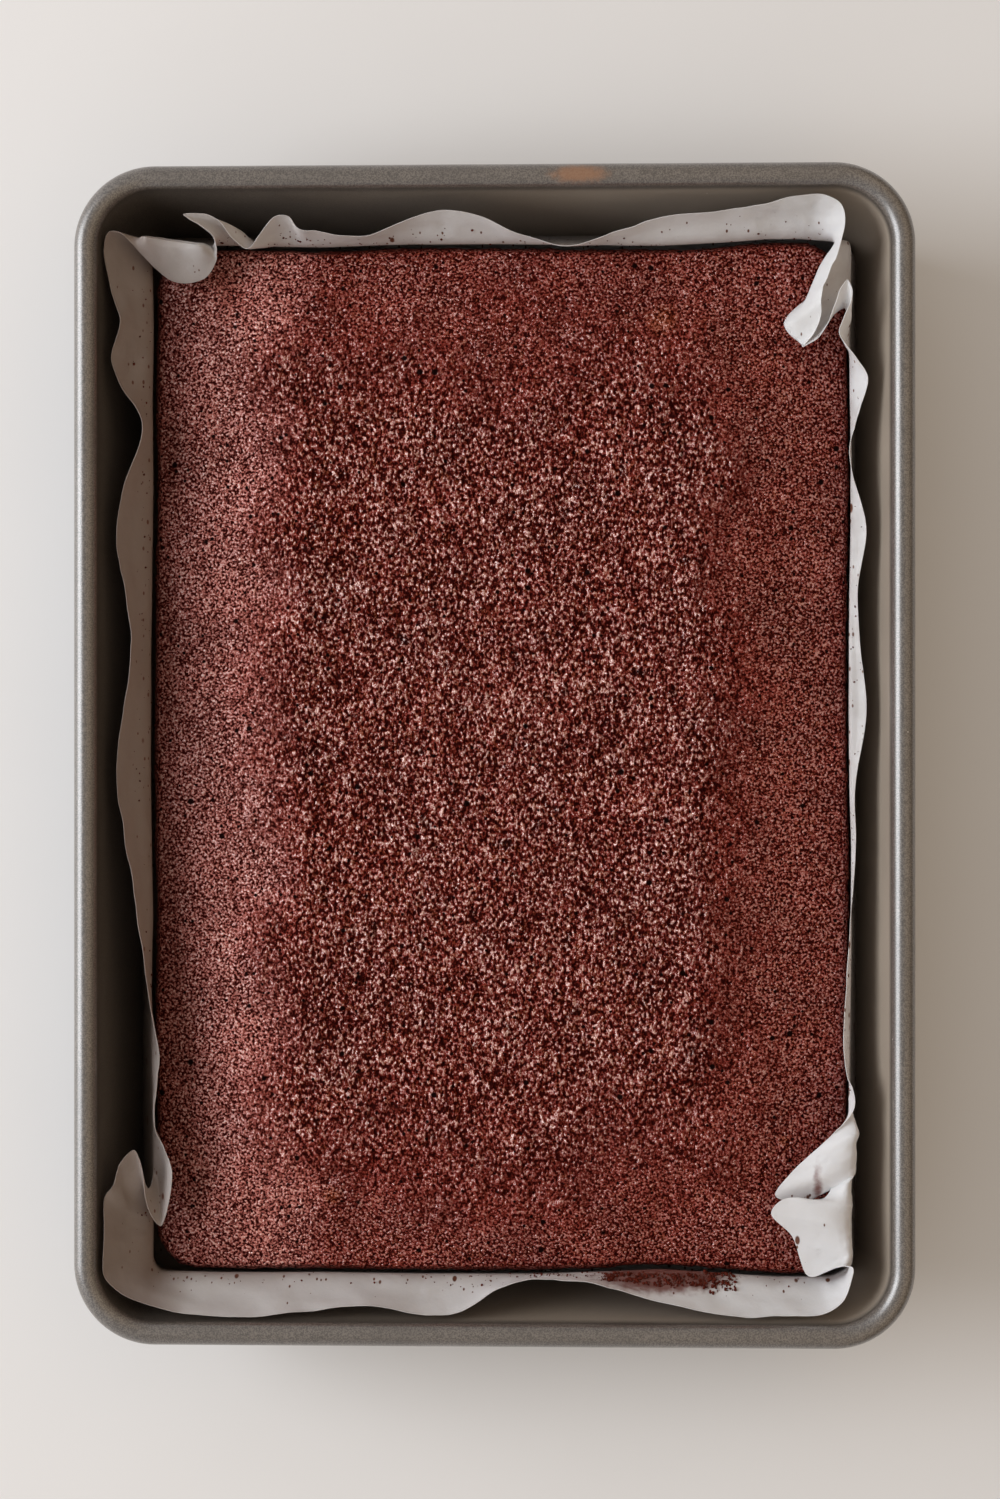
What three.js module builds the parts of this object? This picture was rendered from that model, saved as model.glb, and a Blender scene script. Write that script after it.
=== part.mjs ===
// A chocolate sheet cake in its baking pan, on the sheet of baking paper that lines the pan.
// Millimetres, +Z up, +X to the right and +Y to the back, with the length along Y.
// The origin is under the middle of the pan, on the surface that the pan stands on.
import * as THREE from "three";

// Baking pan
const PAN_WIDTH = 248;
const PAN_LENGTH = 348.4;
const PAN_HEIGHT = 54;
const PAN_CORNER_RADIUS = 24;
const PAN_SHEET = 1;
const WALL_FLARE = 7;
const FLOOR_FILLET = 6;
const RIM_ROLL_RADIUS = 3.5;
const RIM_TUCK_DEGREES = -135;

// Cake. Its top rises from the edge over the slope's width to a faint ridge and sinks a little inside it.
const CAKE_WIDTH = 207.7;
const CAKE_LENGTH = 306.7;
const CAKE_CENTRE = [1.45, -1.3];
const CAKE_CORNER_RADIUS = 13;
const CAKE_EDGE_HEIGHT = 32.5;
const CAKE_EDGE_ROUNDING = 1.4;
const CAKE_CROWN_HEIGHT = 39.6;
const CAKE_SLOPE_WIDTH = 44;
const CAKE_SLOPE_BULGE = 0.35;
const CAKE_CORNER_SOFTNESS = 16;
const CAKE_END_SLOPE_LESS = 4;
const CAKE_RIDGE_HEIGHT = 0.6;
const CAKE_RIDGE_WIDTH = 7;
const CAKE_SINK = 0.8;
const CAKE_SINK_WIDTH = 22;
const CAKE_LUMP_HEIGHT = 0.45;
const CAKE_LUMP_SIZE = 13;
const CAKE_SIDE_WAVER = 0.5;
const CAKE_SIDE_WAVER_LENGTH = 26;

// Baking paper
const PAPER_THICKNESS = 0.6;
const PAPER_GAP = 0.3;
const PAPER_SHOULDER_HEIGHT = 36;
const PAPER_MIDDLE_HEIGHT = 20;
const PAPER_CAKE_CLEARANCE = 1.3;
const PAPER_MIDDLE_CLEARANCE = 0.5;
const PAPER_MIDDLE_SHARE = 0.5;
const PAPER_LEAN_SHARE = 0.6;
const PAPER_SLIDE_SHARE = 0.3;

// How finely the curved surfaces are divided
const PAN_CORNER_STEPS = 7;
const FILLET_STEPS = 4;
const ROLL_STEPS = 14;
const CAKE_STEPS_ACROSS = 32;
const CAKE_STEPS_ALONG = 46;
const STEPS_PER_WAVE = 2;
const STEPS_PER_FOLD = 2;
const BASE_PATH_SAMPLES = 2000;

// Sizes that follow from the ones above. The opening is the straight inside edge below the rolled rim.
const OPENING_HALF_WIDTH = PAN_WIDTH / 2 - 2 * RIM_ROLL_RADIUS;
const OPENING_HALF_LENGTH = PAN_LENGTH / 2 - 2 * RIM_ROLL_RADIUS;
const OPENING_HEIGHT = PAN_HEIGHT - RIM_ROLL_RADIUS;
const WALL_SLOPE = WALL_FLARE / (OPENING_HEIGHT - PAN_SHEET);
const WALL_ANGLE = Math.atan(WALL_SLOPE);

// The outline that every ring of the pan and of the paper is a parallel of: the middle of the floor's fillet.
const FILLET_INSET =
  WALL_FLARE - WALL_SLOPE * FLOOR_FILLET + FLOOR_FILLET / Math.cos(WALL_ANGLE);
const BASE_HALF_WIDTH = OPENING_HALF_WIDTH - FILLET_INSET;
const BASE_HALF_LENGTH = OPENING_HALF_LENGTH - FILLET_INSET;
const BASE_CORNER_RADIUS = PAN_CORNER_RADIUS - 2 * RIM_ROLL_RADIUS - FILLET_INSET;
const FILLET_CENTRE_HEIGHT = PAN_SHEET + FLOOR_FILLET;

const lerp = THREE.MathUtils.lerp;
const clamp = THREE.MathUtils.clamp;
const smoothstep = THREE.MathUtils.smoothstep;

// A point from `from` to `to`, which are lists of equal length.
function between(from, to, share) {
  return from.map((value, axis) => lerp(value, to[axis], share));
}

// One closed ring of a rounded rectangle, parallel to the base outline, clockwise seen from above.
function panRing(outset, height) {
  const radius = BASE_CORNER_RADIUS + outset;
  const cornerX = BASE_HALF_WIDTH - BASE_CORNER_RADIUS;
  const cornerY = BASE_HALF_LENGTH - BASE_CORNER_RADIUS;
  const ring = [];
  for (const [signX, signY, start] of [[-1, 1, 180], [1, 1, 90], [1, -1, 0], [-1, -1, -90]]) {
    for (let step = 0; step <= PAN_CORNER_STEPS; step++) {
      const angle = THREE.MathUtils.degToRad(start - (90 * step) / PAN_CORNER_STEPS);
      ring.push([
        signX * cornerX + radius * Math.cos(angle),
        signY * cornerY + radius * Math.sin(angle),
        height,
      ]);
    }
  }
  return ring;
}

// How far the pan's inside wall stands outside the base outline at a height.
function wallOutset(height) {
  return FILLET_INSET - WALL_FLARE + WALL_SLOPE * (height - PAN_SHEET);
}

// A closed surface from a list of vertices and a list of triangles.
function surface(vertices, triangles) {
  const geometry = new THREE.BufferGeometry();
  geometry.setAttribute("position", new THREE.Float32BufferAttribute(vertices.flat(), 3));
  geometry.setIndex(triangles.flat());
  geometry.computeVertexNormals();
  return geometry;
}

// Triangles of the band between two neighbouring rings, which start at these vertex numbers.
function band(lower, upper, count) {
  const triangles = [];
  for (let i = 0; i < count; i++) {
    const next = (i + 1) % count;
    triangles.push([lower + i, upper + i, lower + next]);
    triangles.push([lower + next, upper + i, upper + next]);
  }
  return triangles;
}

// Triangles of the fan that closes a ring to one middle vertex.
function fan(ringStart, count, middle, facesUp) {
  const triangles = [];
  for (let i = 0; i < count; i++) {
    const next = ringStart + ((i + 1) % count);
    triangles.push(facesUp ? [ringStart + i, middle, next] : [ringStart + i, next, middle]);
  }
  return triangles;
}

// Pan

// The pan's cut edge, as [outset from the base outline, height], from the underside up the outside,
// over the rolled rim and down the inside to the floor.
function panSection() {
  const section = [];
  const arc = (radius, from, to, steps, centre) => {
    for (let step = 0; step <= steps; step++) {
      const angle = lerp(from, to, step / steps);
      section.push([centre[0] + radius * Math.cos(angle), centre[1] + radius * Math.sin(angle)]);
    }
  };
  const filletCentre = [0, FILLET_CENTRE_HEIGHT];
  const rollCentre = [FILLET_INSET + RIM_ROLL_RADIUS, OPENING_HEIGHT];
  const floorAngle = -Math.PI / 2;
  const tuckAngle = THREE.MathUtils.degToRad(RIM_TUCK_DEGREES);
  const underRim = OPENING_HEIGHT - RIM_ROLL_RADIUS;
  arc(FLOOR_FILLET + PAN_SHEET, floorAngle, -WALL_ANGLE, FILLET_STEPS, filletCentre);
  section.push([wallOutset(underRim) + PAN_SHEET, underRim]);
  arc(RIM_ROLL_RADIUS, tuckAngle, Math.PI, ROLL_STEPS, rollCentre);
  section.push([wallOutset(PAPER_SHOULDER_HEIGHT), PAPER_SHOULDER_HEIGHT]);
  section.push([wallOutset(PAPER_MIDDLE_HEIGHT), PAPER_MIDDLE_HEIGHT]);
  arc(FLOOR_FILLET, -WALL_ANGLE, floorAngle, FILLET_STEPS, filletCentre);
  return section;
}

function panGeometry() {
  const section = panSection();
  const vertices = section.flatMap(([outset, height]) => panRing(outset, height));
  const count = vertices.length / section.length;
  const triangles = [];
  for (let row = 0; row + 1 < section.length; row++) {
    triangles.push(...band(row * count, (row + 1) * count, count));
  }
  const underMiddle = vertices.length;
  vertices.push([0, 0, 0], [0, 0, PAN_SHEET]);
  triangles.push(...fan(0, count, underMiddle, false));
  triangles.push(...fan((section.length - 1) * count, count, underMiddle + 1, true));
  return surface(vertices, triangles);
}

// Cake

// A repeatable number from -1 to 1 for one corner of the grid that the lumps are made on. Its
// factors only have to be large and unrelated.
function latticeValue(column, row) {
  const mixed = Math.sin(column * 127.1 + row * 311.7) * 43758.5453;
  return 2 * (mixed - Math.floor(mixed)) - 1;
}

// Smooth uneven relief from -1 to 1, with lumps about `size` across.
function lumps(x, y, size) {
  const column = Math.floor(x / size);
  const row = Math.floor(y / size);
  const shareX = smoothstep(x / size - column, 0, 1);
  const shareY = smoothstep(y / size - row, 0, 1);
  const front = lerp(latticeValue(column, row), latticeValue(column + 1, row), shareX);
  const back = lerp(latticeValue(column, row + 1), latticeValue(column + 1, row + 1), shareX);
  return lerp(front, back, shareY);
}

// A round swelling of height 1 at `centre`, fading out over `radius`.
function swelling(x, y, centre, radius) {
  const distance = Math.hypot(x - centre[0], y - centre[1]) / radius;
  return Math.exp(-distance * distance);
}

// Hollows and lumps that stand out on the top: centre, radius and height in millimetres.
const CAKE_MARKS = [
  { centre: [-77, 143], radius: 7, height: -3.2 },
  { centre: [-62, 147], radius: 6, height: -1.6 },
  { centre: [-49, -132], radius: 3, height: 1.3 },
  { centre: [50, -152], radius: 16, height: -1.2 },
  { centre: [11, 62], radius: 15, height: -0.6 },
  { centre: [-20, -20], radius: 22, height: -0.5 },
  { centre: [28, -62], radius: 18, height: 0.5 },
  { centre: [92, 152], radius: 9, height: 1.0 },
];

// Hollows and bulges of the sides, as for the top. The first is the crumbled foot at the front.
const CAKE_SIDE_MARKS = [
  { centre: [46, -154], radius: 24, height: -1.5 },
  { centre: [88, -154], radius: 16, height: 0.7 },
  { centre: [88, 152], radius: 16, height: 1.3 },
];

// The height that a list of marks adds up to at a place.
function marksHeight(marks, x, y) {
  const heights = marks.map((mark) => mark.height * swelling(x, y, mark.centre, mark.radius));
  return heights.reduce((sum, height) => sum + height, 0);
}

// How far a place on the top is from the nearer side and from the nearer end of the cake.
function cakeMargins(x, y) {
  const fromSide = CAKE_WIDTH / 2 - Math.abs(x - CAKE_CENTRE[0]);
  const endLess = CAKE_END_SLOPE_LESS * smoothstep(fromSide, 0, CAKE_SLOPE_WIDTH);
  return [fromSide, CAKE_LENGTH / 2 - Math.abs(y - CAKE_CENTRE[1]) + endLess];
}

// The less of the two margins, with the lines where the slopes meet rounded off.
function cakeInside(fromSide, fromEnd) {
  const least = Math.min(fromSide, fromEnd);
  const apart = Math.abs(fromSide - fromEnd);
  const softness = CAKE_CORNER_SOFTNESS * clamp(least / CAKE_SLOPE_WIDTH, 0, 1);
  return least - (Math.hypot(apart, softness) - apart) / 2;
}

// Height of the cake's top above the surface that the pan stands on. The ridge runs along the long
// sides and fades out before the ends.
function cakeTop(x, y) {
  const [fromSide, fromEnd] = cakeMargins(x, y);
  const inside = cakeInside(fromSide, fromEnd);
  const share = clamp(inside / CAKE_SLOPE_WIDTH, 0, 1);
  const rise = share * (1 + CAKE_SLOPE_BULGE * (1 - share));
  const slope = lerp(CAKE_EDGE_HEIGHT, CAKE_CROWN_HEIGHT, rise);
  const besideLong = smoothstep(fromEnd - fromSide, 0, CAKE_SLOPE_WIDTH);
  const ridge = besideLong * Math.exp(-(((inside - CAKE_SLOPE_WIDTH) / CAKE_RIDGE_WIDTH) ** 2));
  const sunken = smoothstep(inside, CAKE_SLOPE_WIDTH, CAKE_SLOPE_WIDTH + CAKE_SINK_WIDTH);
  return (
    slope +
    CAKE_RIDGE_HEIGHT * ridge -
    CAKE_SINK * sunken +
    CAKE_LUMP_HEIGHT * lumps(x, y, CAKE_LUMP_SIZE) * smoothstep(inside, 0, CAKE_LUMP_SIZE) +
    marksHeight(CAKE_MARKS, x, y)
  );
}

// How far the cake's side swells out of or shrinks from its straight outline at a place.
function cakeWaver(x, y) {
  const waver = CAKE_SIDE_WAVER * lumps(x + CAKE_WIDTH, y, CAKE_SIDE_WAVER_LENGTH);
  return waver + marksHeight(CAKE_SIDE_MARKS, x, y);
}

// A place on the cake from shares -1 to 1 of its width and length, with square corners rounded off.
function cakePlace(shareX, shareY, outset) {
  const radius = CAKE_CORNER_RADIUS + outset;
  const halves = [CAKE_WIDTH / 2 + outset, CAKE_LENGTH / 2 + outset];
  const signs = [Math.sign(shareX), Math.sign(shareY)];
  const flat = [Math.abs(shareX) * halves[0], Math.abs(shareY) * halves[1]];
  const corner = flat.map((value, axis) => Math.max(0, (value - halves[axis] + radius) / radius));
  const round = corner.map((value, axis) => value * Math.sqrt(1 - corner[1 - axis] ** 2 / 2));
  return flat.map(
    (value, axis) =>
      CAKE_CENTRE[axis] + signs[axis] * (value - radius * (corner[axis] - round[axis])),
  );
}

// The grid shares of the cake's outline, clockwise from the front left corner.
function cakeOutlineShares() {
  const shares = [];
  const stepX = 2 / CAKE_STEPS_ACROSS;
  const stepY = 2 / CAKE_STEPS_ALONG;
  for (let i = 0; i < CAKE_STEPS_ALONG; i++) shares.push([-1, -1 + i * stepY]);
  for (let i = 0; i < CAKE_STEPS_ACROSS; i++) shares.push([-1 + i * stepX, 1]);
  for (let i = 0; i < CAKE_STEPS_ALONG; i++) shares.push([1, 1 - i * stepY]);
  for (let i = 0; i < CAKE_STEPS_ACROSS; i++) shares.push([1 - i * stepX, -1]);
  return shares;
}

// The cake's side from its underside up, as [outset from the top edge's outline, height].
function cakeSide() {
  const bottom = PAN_SHEET + 2 * PAPER_GAP + PAPER_THICKNESS;
  return [
    [-3, bottom],
    [0, bottom + 1.4],
    [1, bottom + 7],
    [1.1, 18],
    [0.6, CAKE_EDGE_HEIGHT - 5],
  ];
}

function cakeGeometry() {
  const outline = cakeOutlineShares();
  const side = cakeSide();
  const vertices = [];
  for (const [outset, height] of side) {
    for (const [shareX, shareY] of outline) {
      const [x, y] = cakePlace(shareX, shareY, outset);
      const waver = height > side[0][1] ? cakeWaver(x, y) : 0;
      vertices.push([...cakePlace(shareX, shareY, outset + waver), height]);
    }
  }

  // The top is a grid whose border closes on the side. Its border stands a little inside the outline.
  const top = new Map();
  for (let row = 0; row <= CAKE_STEPS_ALONG; row++) {
    for (let column = 0; column <= CAKE_STEPS_ACROSS; column++) {
      const shareX = (2 * column) / CAKE_STEPS_ACROSS - 1;
      const shareY = (2 * row) / CAKE_STEPS_ALONG - 1;
      const [x, y] = cakePlace(shareX, shareY, -CAKE_EDGE_ROUNDING);
      const place = cakePlace(shareX, shareY, cakeWaver(x, y) - CAKE_EDGE_ROUNDING);
      top.set(`${row},${column}`, vertices.length);
      vertices.push([...place, cakeTop(x, y)]);
    }
  }

  const count = outline.length;
  const triangles = [];
  for (let row = 0; row + 1 < side.length; row++) {
    triangles.push(...band(row * count, (row + 1) * count, count));
  }
  const border = outline.map(([shareX, shareY]) => {
    const row = Math.round(((shareY + 1) * CAKE_STEPS_ALONG) / 2);
    const column = Math.round(((shareX + 1) * CAKE_STEPS_ACROSS) / 2);
    return top.get(`${row},${column}`);
  });
  const shoulder = (side.length - 1) * count;
  for (let i = 0; i < count; i++) {
    const next = (i + 1) % count;
    triangles.push([shoulder + i, border[i], shoulder + next]);
    triangles.push([shoulder + next, border[i], border[next]]);
  }
  for (let row = 0; row < CAKE_STEPS_ALONG; row++) {
    for (let column = 0; column < CAKE_STEPS_ACROSS; column++) {
      const nearLeft = top.get(`${row},${column}`);
      const nearRight = top.get(`${row},${column + 1}`);
      const farLeft = top.get(`${row + 1},${column}`);
      const farRight = top.get(`${row + 1},${column + 1}`);
      triangles.push([nearLeft, nearRight, farLeft], [farLeft, nearRight, farRight]);
    }
  }
  const bottomMiddle = vertices.length;
  vertices.push([...CAKE_CENTRE, side[0][1]]);
  triangles.push(...fan(0, count, bottomMiddle, false));
  return surface(vertices, triangles);
}

// Baking paper

// The paper's free edge waves along each wall. Each crest is [place along the wall, distance in
// from the pan's opening, height], in the order clockwise round the pan.
const LEFT_WAVES = [
  [-92, 17.4, 46], [-70, 14.5, 46], [-48, 11.4, 47], [-20, 7, 48], [-5, 5.2, 48],
  [12, 7, 48], [28, 9.2, 47], [46, 8.2, 47], [64, 4.9, 48], [80, 7.4, 48], [99, 12.8, 46],
  [109, 6.8, 47], [118, 3.7, 48], [129, 6.2, 48], [139, 3.4, 48],
];
const BACK_WAVES = [
  [-52, 11.6, 47], [-38, 13.2, 46], [-24, 8.2, 48], [-14, 6.2, 49], [-3, 8.2, 48],
  [13, 14.6, 45], [23, 16.2, 45], [37, 12.2, 46], [50, 8.4, 48], [70, 6.4, 49], [81, 4.6, 50],
];
const RIGHT_WAVES = [
  [112, 6.2, 44], [103, 8.4, 42], [90, 11.6, 40], [68, 6.4, 39.5], [50, 8.8, 38.5], [33, 8.2, 38],
  [13, 6.2, 38.5], [-9, 9.4, 38], [-28, 9.6, 38], [-57, 11.4, 38], [-86, 13, 39.5], [-95, 12.2, 42],
];
const FRONT_WAVES = [
  [84, 2.6, 50], [75, 2, 50], [62, 3.7, 50], [49, 6.3, 49], [32, 10.6, 47], [13, 12.2, 46],
  [1, 8.8, 47], [-9, 3, 49], [-20, 2.2, 50], [-36, 4.6, 50], [-53, 3.3, 50], [-68, 1.8, 51],
  [-84, 1.4, 51],
];

// The folds at the corners follow the paper's free edge clockwise. Each point is [distance in from
// the side wall, distance in from the end wall, height]. Paper that stands up has only its edge.
const standing = (...edges) => edges.map((edge) => ({ edge }));

// A lip stands up to a spine, a straight crease from one place to another, and droops from it to
// its free edge.
const lip = (from, to, ...edges) =>
  edges.map((edge, i) => ({ edge, ridge: between(from, to, i / (edges.length - 1)) }));

// Paper that bulges over the cake to a low bend and rises from there. Each pair is edge and bend.
const bulging = (...pairs) => pairs.map(([edge, ridge]) => ({ edge, ridge }));

const BACK_LEFT_FOLD = [
  ...standing([1.8, 16.5, 49], [3.2, 12.4, 50], [6.9, 12.8, 50]),
  ...lip(
    [13.4, 13.8, 50], [30.6, 16.4, 49.4],
    [13.4, 19.4, 44], [21, 25.4, 38.6], [29.6, 24.8, 39], [33.6, 21, 42.4],
  ),
  ...standing(
    [35, 17.2, 47], [33.2, 12.8, 48.6], [29.4, 9.8, 50], [25.4, 7.4, 51.2], [30, 7, 51], [35.2, 8.2, 50],
    [39.4, 13.6, 46.6], [43.6, 16.2, 45], [47.4, 13, 46.4], [52.2, 7.8, 49], [56.4, 7.6, 49],
    [59.4, 10.8, 47.4],
  ),
];
const BACK_RIGHT_FOLD = [
  ...standing([26, 2.6, 51], [19.6, 2.4, 51], [14.6, 5, 50.6], [13.2, 10, 50], [14.4, 16.4, 49.4]),
  ...bulging(
    [[17, 22.9, 48.8], [19.4, 20.6, 42.4]],
    [[19.1, 27.9, 48], [22.6, 27.9, 42]],
    [[20, 32.3, 47], [25.8, 34, 41.5]],
    [[20.3, 37.6, 46], [30.5, 38.7, 41]],
    [[22.3, 42.6, 45], [28.8, 42.3, 41.2]],
    [[25.6, 46.4, 43.6], [26.2, 43.4, 41.4]],
    [[20.8, 43.7, 45], [19.4, 40, 42]],
    [[18.2, 39.9, 46.8], [16, 37, 43]],
    [[16.1, 34, 48.6], [13.6, 34.4, 43.8]],
  ),
  ...standing(
    [14.4, 29.4, 50], [12.9, 27.4, 50.4], [11.4, 30.5, 50], [11.7, 33.5, 49],
    [13.8, 38.2, 47], [14.8, 42.3, 45.6], [12.3, 46, 45.6], [9.7, 49.6, 46],
  ),
];
const FRONT_RIGHT_FOLD = [
  ...standing([10.8, 69, 48], [10.2, 65, 48.4], [11.4, 61.4, 47.8]),
  ...lip(
    [9.8, 56.6, 47.4], [10.8, 43.6, 46.2],
    [20.6, 51.4, 43.6], [29.4, 42.6, 41.4], [33.4, 36.4, 40.4], [24.4, 34.4, 39.6],
  ),
  ...lip(
    [12.4, 41, 47.4], [12.2, 19.4, 49],
    [17.4, 39.4, 44], [19.6, 36.6, 45.8], [31.2, 36, 44.6], [34.8, 31.6, 43.6], [28.6, 25, 43.4],
    [23.6, 12.8, 41.6], [15.4, 16.2, 46.2],
  ),
  ...standing([11.2, 16.6, 50], [11.8, 11.6, 50.4], [14.6, 6, 50.6], [20.4, 2.8, 50.6]),
];
const FRONT_LEFT_FOLD = [
  ...standing(
    [16, 4.6, 51.4], [5.8, 9.2, 51.4], [1.9, 13.6, 51.4], [1.9, 25, 51], [2.2, 36.4, 50.4],
    [4.8, 40.4, 50], [6.2, 46.4, 49.4], [10.6, 50.4, 49], [12.6, 45.8, 48.4], [13.8, 36, 47.2],
    [15.2, 29.6, 44.6], [17.6, 26.8, 42.4], [19.8, 31.6, 44.4], [21.8, 43.4, 47], [19.6, 50.4, 47.2],
    [16.6, 57, 47],
  ),
];

// The base outline as a path, clockwise seen from above, from the front end of the left side.
function basePath() {
  const path = new THREE.Path();
  const x = BASE_HALF_WIDTH - BASE_CORNER_RADIUS;
  const y = BASE_HALF_LENGTH - BASE_CORNER_RADIUS;
  path.moveTo(-BASE_HALF_WIDTH, -y);
  path.lineTo(-BASE_HALF_WIDTH, y);
  path.absarc(-x, y, BASE_CORNER_RADIUS, Math.PI, Math.PI / 2, true);
  path.lineTo(x, BASE_HALF_LENGTH);
  path.absarc(x, y, BASE_CORNER_RADIUS, Math.PI / 2, 0, true);
  path.lineTo(BASE_HALF_WIDTH, -y);
  path.absarc(x, -y, BASE_CORNER_RADIUS, 0, -Math.PI / 2, true);
  path.lineTo(-x, -BASE_HALF_LENGTH);
  path.absarc(-x, -y, BASE_CORNER_RADIUS, -Math.PI / 2, -Math.PI, true);
  return path;
}

// The share of the base path, from 0 to 1, that lies nearest a place.
function nearestShare(path, place) {
  let best = { distance: Infinity, share: 0 };
  for (let i = 0; i < BASE_PATH_SAMPLES; i++) {
    const share = i / BASE_PATH_SAMPLES;
    const point = path.getPoint(share);
    const distance = Math.hypot(point.x - place[0], point.y - place[1]);
    if (distance < best.distance) best = { distance, share };
  }
  return best.share;
}

// The free edge's stations along one straight wall.
function waveStations(waves, toPlace) {
  return waves.map(([along, inset, height]) => ({
    edge: [...toPlace(along, inset), height],
    steps: STEPS_PER_WAVE,
  }));
}

// The free edge's stations in one corner. Their feet share out the base between the first and last.
function foldStations(fold, signX, signY, path) {
  const toPlace = ([fromSide, fromEnd, height]) => [
    signX * (OPENING_HALF_WIDTH - fromSide),
    signY * (OPENING_HALF_LENGTH - fromEnd),
    height,
  ];
  const stations = fold.map(({ edge, ridge }) => ({
    edge: toPlace(edge),
    ridge: ridge && toPlace(ridge),
    steps: STEPS_PER_FOLD,
  }));
  const lengths = [0];
  for (let i = 1; i < stations.length; i++) {
    const step = new THREE.Vector3(...stations[i].edge).distanceTo(
      new THREE.Vector3(...stations[i - 1].edge),
    );
    lengths.push(lengths[i - 1] + step);
  }
  const first = nearestShare(path, stations[0].edge);
  let last = nearestShare(path, stations.at(-1).edge);
  if (last < first) last += 1;
  stations.forEach((station, i) => {
    station.share = lerp(first, last, lengths[i] / lengths.at(-1)) % 1;
  });
  return stations;
}

// All stations round the pan, clockwise from the front end of the left wall.
function paperStations(path) {
  const width = OPENING_HALF_WIDTH;
  const length = OPENING_HALF_LENGTH;
  const stations = [
    ...waveStations(LEFT_WAVES, (along, inset) => [inset - width, along]),
    ...foldStations(BACK_LEFT_FOLD, -1, 1, path),
    ...waveStations(BACK_WAVES, (along, inset) => [along, length - inset]),
    ...foldStations(BACK_RIGHT_FOLD, 1, 1, path),
    ...waveStations(RIGHT_WAVES, (along, inset) => [width - inset, along]),
    ...foldStations(FRONT_RIGHT_FOLD, 1, -1, path),
    ...waveStations(FRONT_WAVES, (along, inset) => [along, inset - length]),
    ...foldStations(FRONT_LEFT_FOLD, -1, -1, path),
  ];
  for (const station of stations) {
    station.share ??= nearestShare(path, station.edge);
  }
  return stations;
}

// How far the cake's top edge stands in from the pan's inside wall, along one outward direction.
function cakeInset(outwardX, outwardY) {
  const wall = wallOutset(PAPER_SHOULDER_HEIGHT);
  const beside = BASE_HALF_WIDTH + wall - CAKE_WIDTH / 2 - Math.sign(outwardX) * CAKE_CENTRE[0];
  const beyond = BASE_HALF_LENGTH + wall - CAKE_LENGTH / 2 - Math.sign(outwardY) * CAKE_CENTRE[1];
  return Math.abs(outwardX) > Math.abs(outwardY) ? beside : beyond;
}

// How far in from the pan's wall the paper stands beside the cake's top edge, which it follows.
function shoulderInset(station, path) {
  const foot = path.getPoint(station.share);
  const tangent = path.getTangent(station.share);
  const inset = cakeInset(-tangent.y, tangent.x);
  const outset = wallOutset(PAPER_SHOULDER_HEIGHT) - inset;
  const waver = cakeWaver(foot.x - outset * tangent.y, foot.y + outset * tangent.x);
  return inset - waver - PAPER_CAKE_CLEARANCE;
}

// The lower part of one line up the paper: on the floor, round the fillet and up beside the cake.
function lowerRib(share, inset, path) {
  const foot = path.getPoint(share);
  const tangent = path.getTangent(share);
  const at = (outset, height) => [
    foot.x - outset * tangent.y,
    foot.y + outset * tangent.x,
    height,
  ];
  const filletRadius = FLOOR_FILLET - PAPER_GAP - PAPER_THICKNESS / 2;
  const round = (angle) =>
    at(filletRadius * Math.cos(angle), FILLET_CENTRE_HEIGHT + filletRadius * Math.sin(angle));
  const middleInset = PAPER_MIDDLE_SHARE * inset + PAPER_MIDDLE_CLEARANCE;
  return [
    round(-Math.PI / 2),
    round(-WALL_ANGLE),
    at(wallOutset(PAPER_MIDDLE_HEIGHT) - middleInset, PAPER_MIDDLE_HEIGHT),
    at(wallOutset(PAPER_SHOULDER_HEIGHT) - inset, PAPER_SHOULDER_HEIGHT),
  ];
}

// The middle of standing paper between its shoulder and its free edge. It leans in from the wall
// sooner than it slides along it, so that a pleat opens before it doubles back.
function leaningRidge(station, shoulder, path) {
  const tangent = path.getTangent(station.share);
  const [spanX, spanY] = [0, 1].map((axis) => station.edge[axis] - shoulder[axis]);
  const late = (PAPER_LEAN_SHARE - PAPER_SLIDE_SHARE) * (spanX * tangent.x + spanY * tangent.y);
  const [x, y, z] = between(shoulder, station.edge, PAPER_LEAN_SHARE);
  return [x - late * tangent.x, y - late * tangent.y, z];
}

// A smooth closed curve through one point of each station.
function stationCurve(points) {
  return new THREE.CatmullRomCurve3(
    points.map((point) => new THREE.Vector3(...point)),
    true,
    "centripetal",
  );
}

// The middle surface of the paper's walls: one rib for each step round the pan, each a list of
// points from the floor to the free edge.
function paperRibs() {
  const path = basePath();
  const stations = paperStations(path);
  const insets = stations.map((station) => shoulderInset(station, path));
  const ridges = stations.map((station, i) => {
    const shoulder = lowerRib(station.share, insets[i], path).at(-1);
    return station.ridge ?? leaningRidge(station, shoulder, path);
  });
  const edgeCurve = stationCurve(stations.map((station) => station.edge));
  const ridgeCurve = stationCurve(ridges);
  const ribs = [];
  stations.forEach((station, i) => {
    const next = (i + 1) % stations.length;
    const passesStart = stations[next].share < station.share;
    const nextShare = stations[next].share + (passesStart ? 1 : 0);
    for (let step = 0; step < station.steps; step++) {
      const part = step / station.steps;
      const share = lerp(station.share, nextShare, part) % 1;
      const inset = lerp(insets[i], insets[next], part);
      const ridge = ridgeCurve.getPoint((i + part) / stations.length).toArray();
      const edge = edgeCurve.getPoint((i + part) / stations.length).toArray();
      ribs.push([...lowerRib(share, inset, path), ridge, between(ridge, edge, 0.5), edge]);
    }
  });
  return ribs;
}

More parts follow.
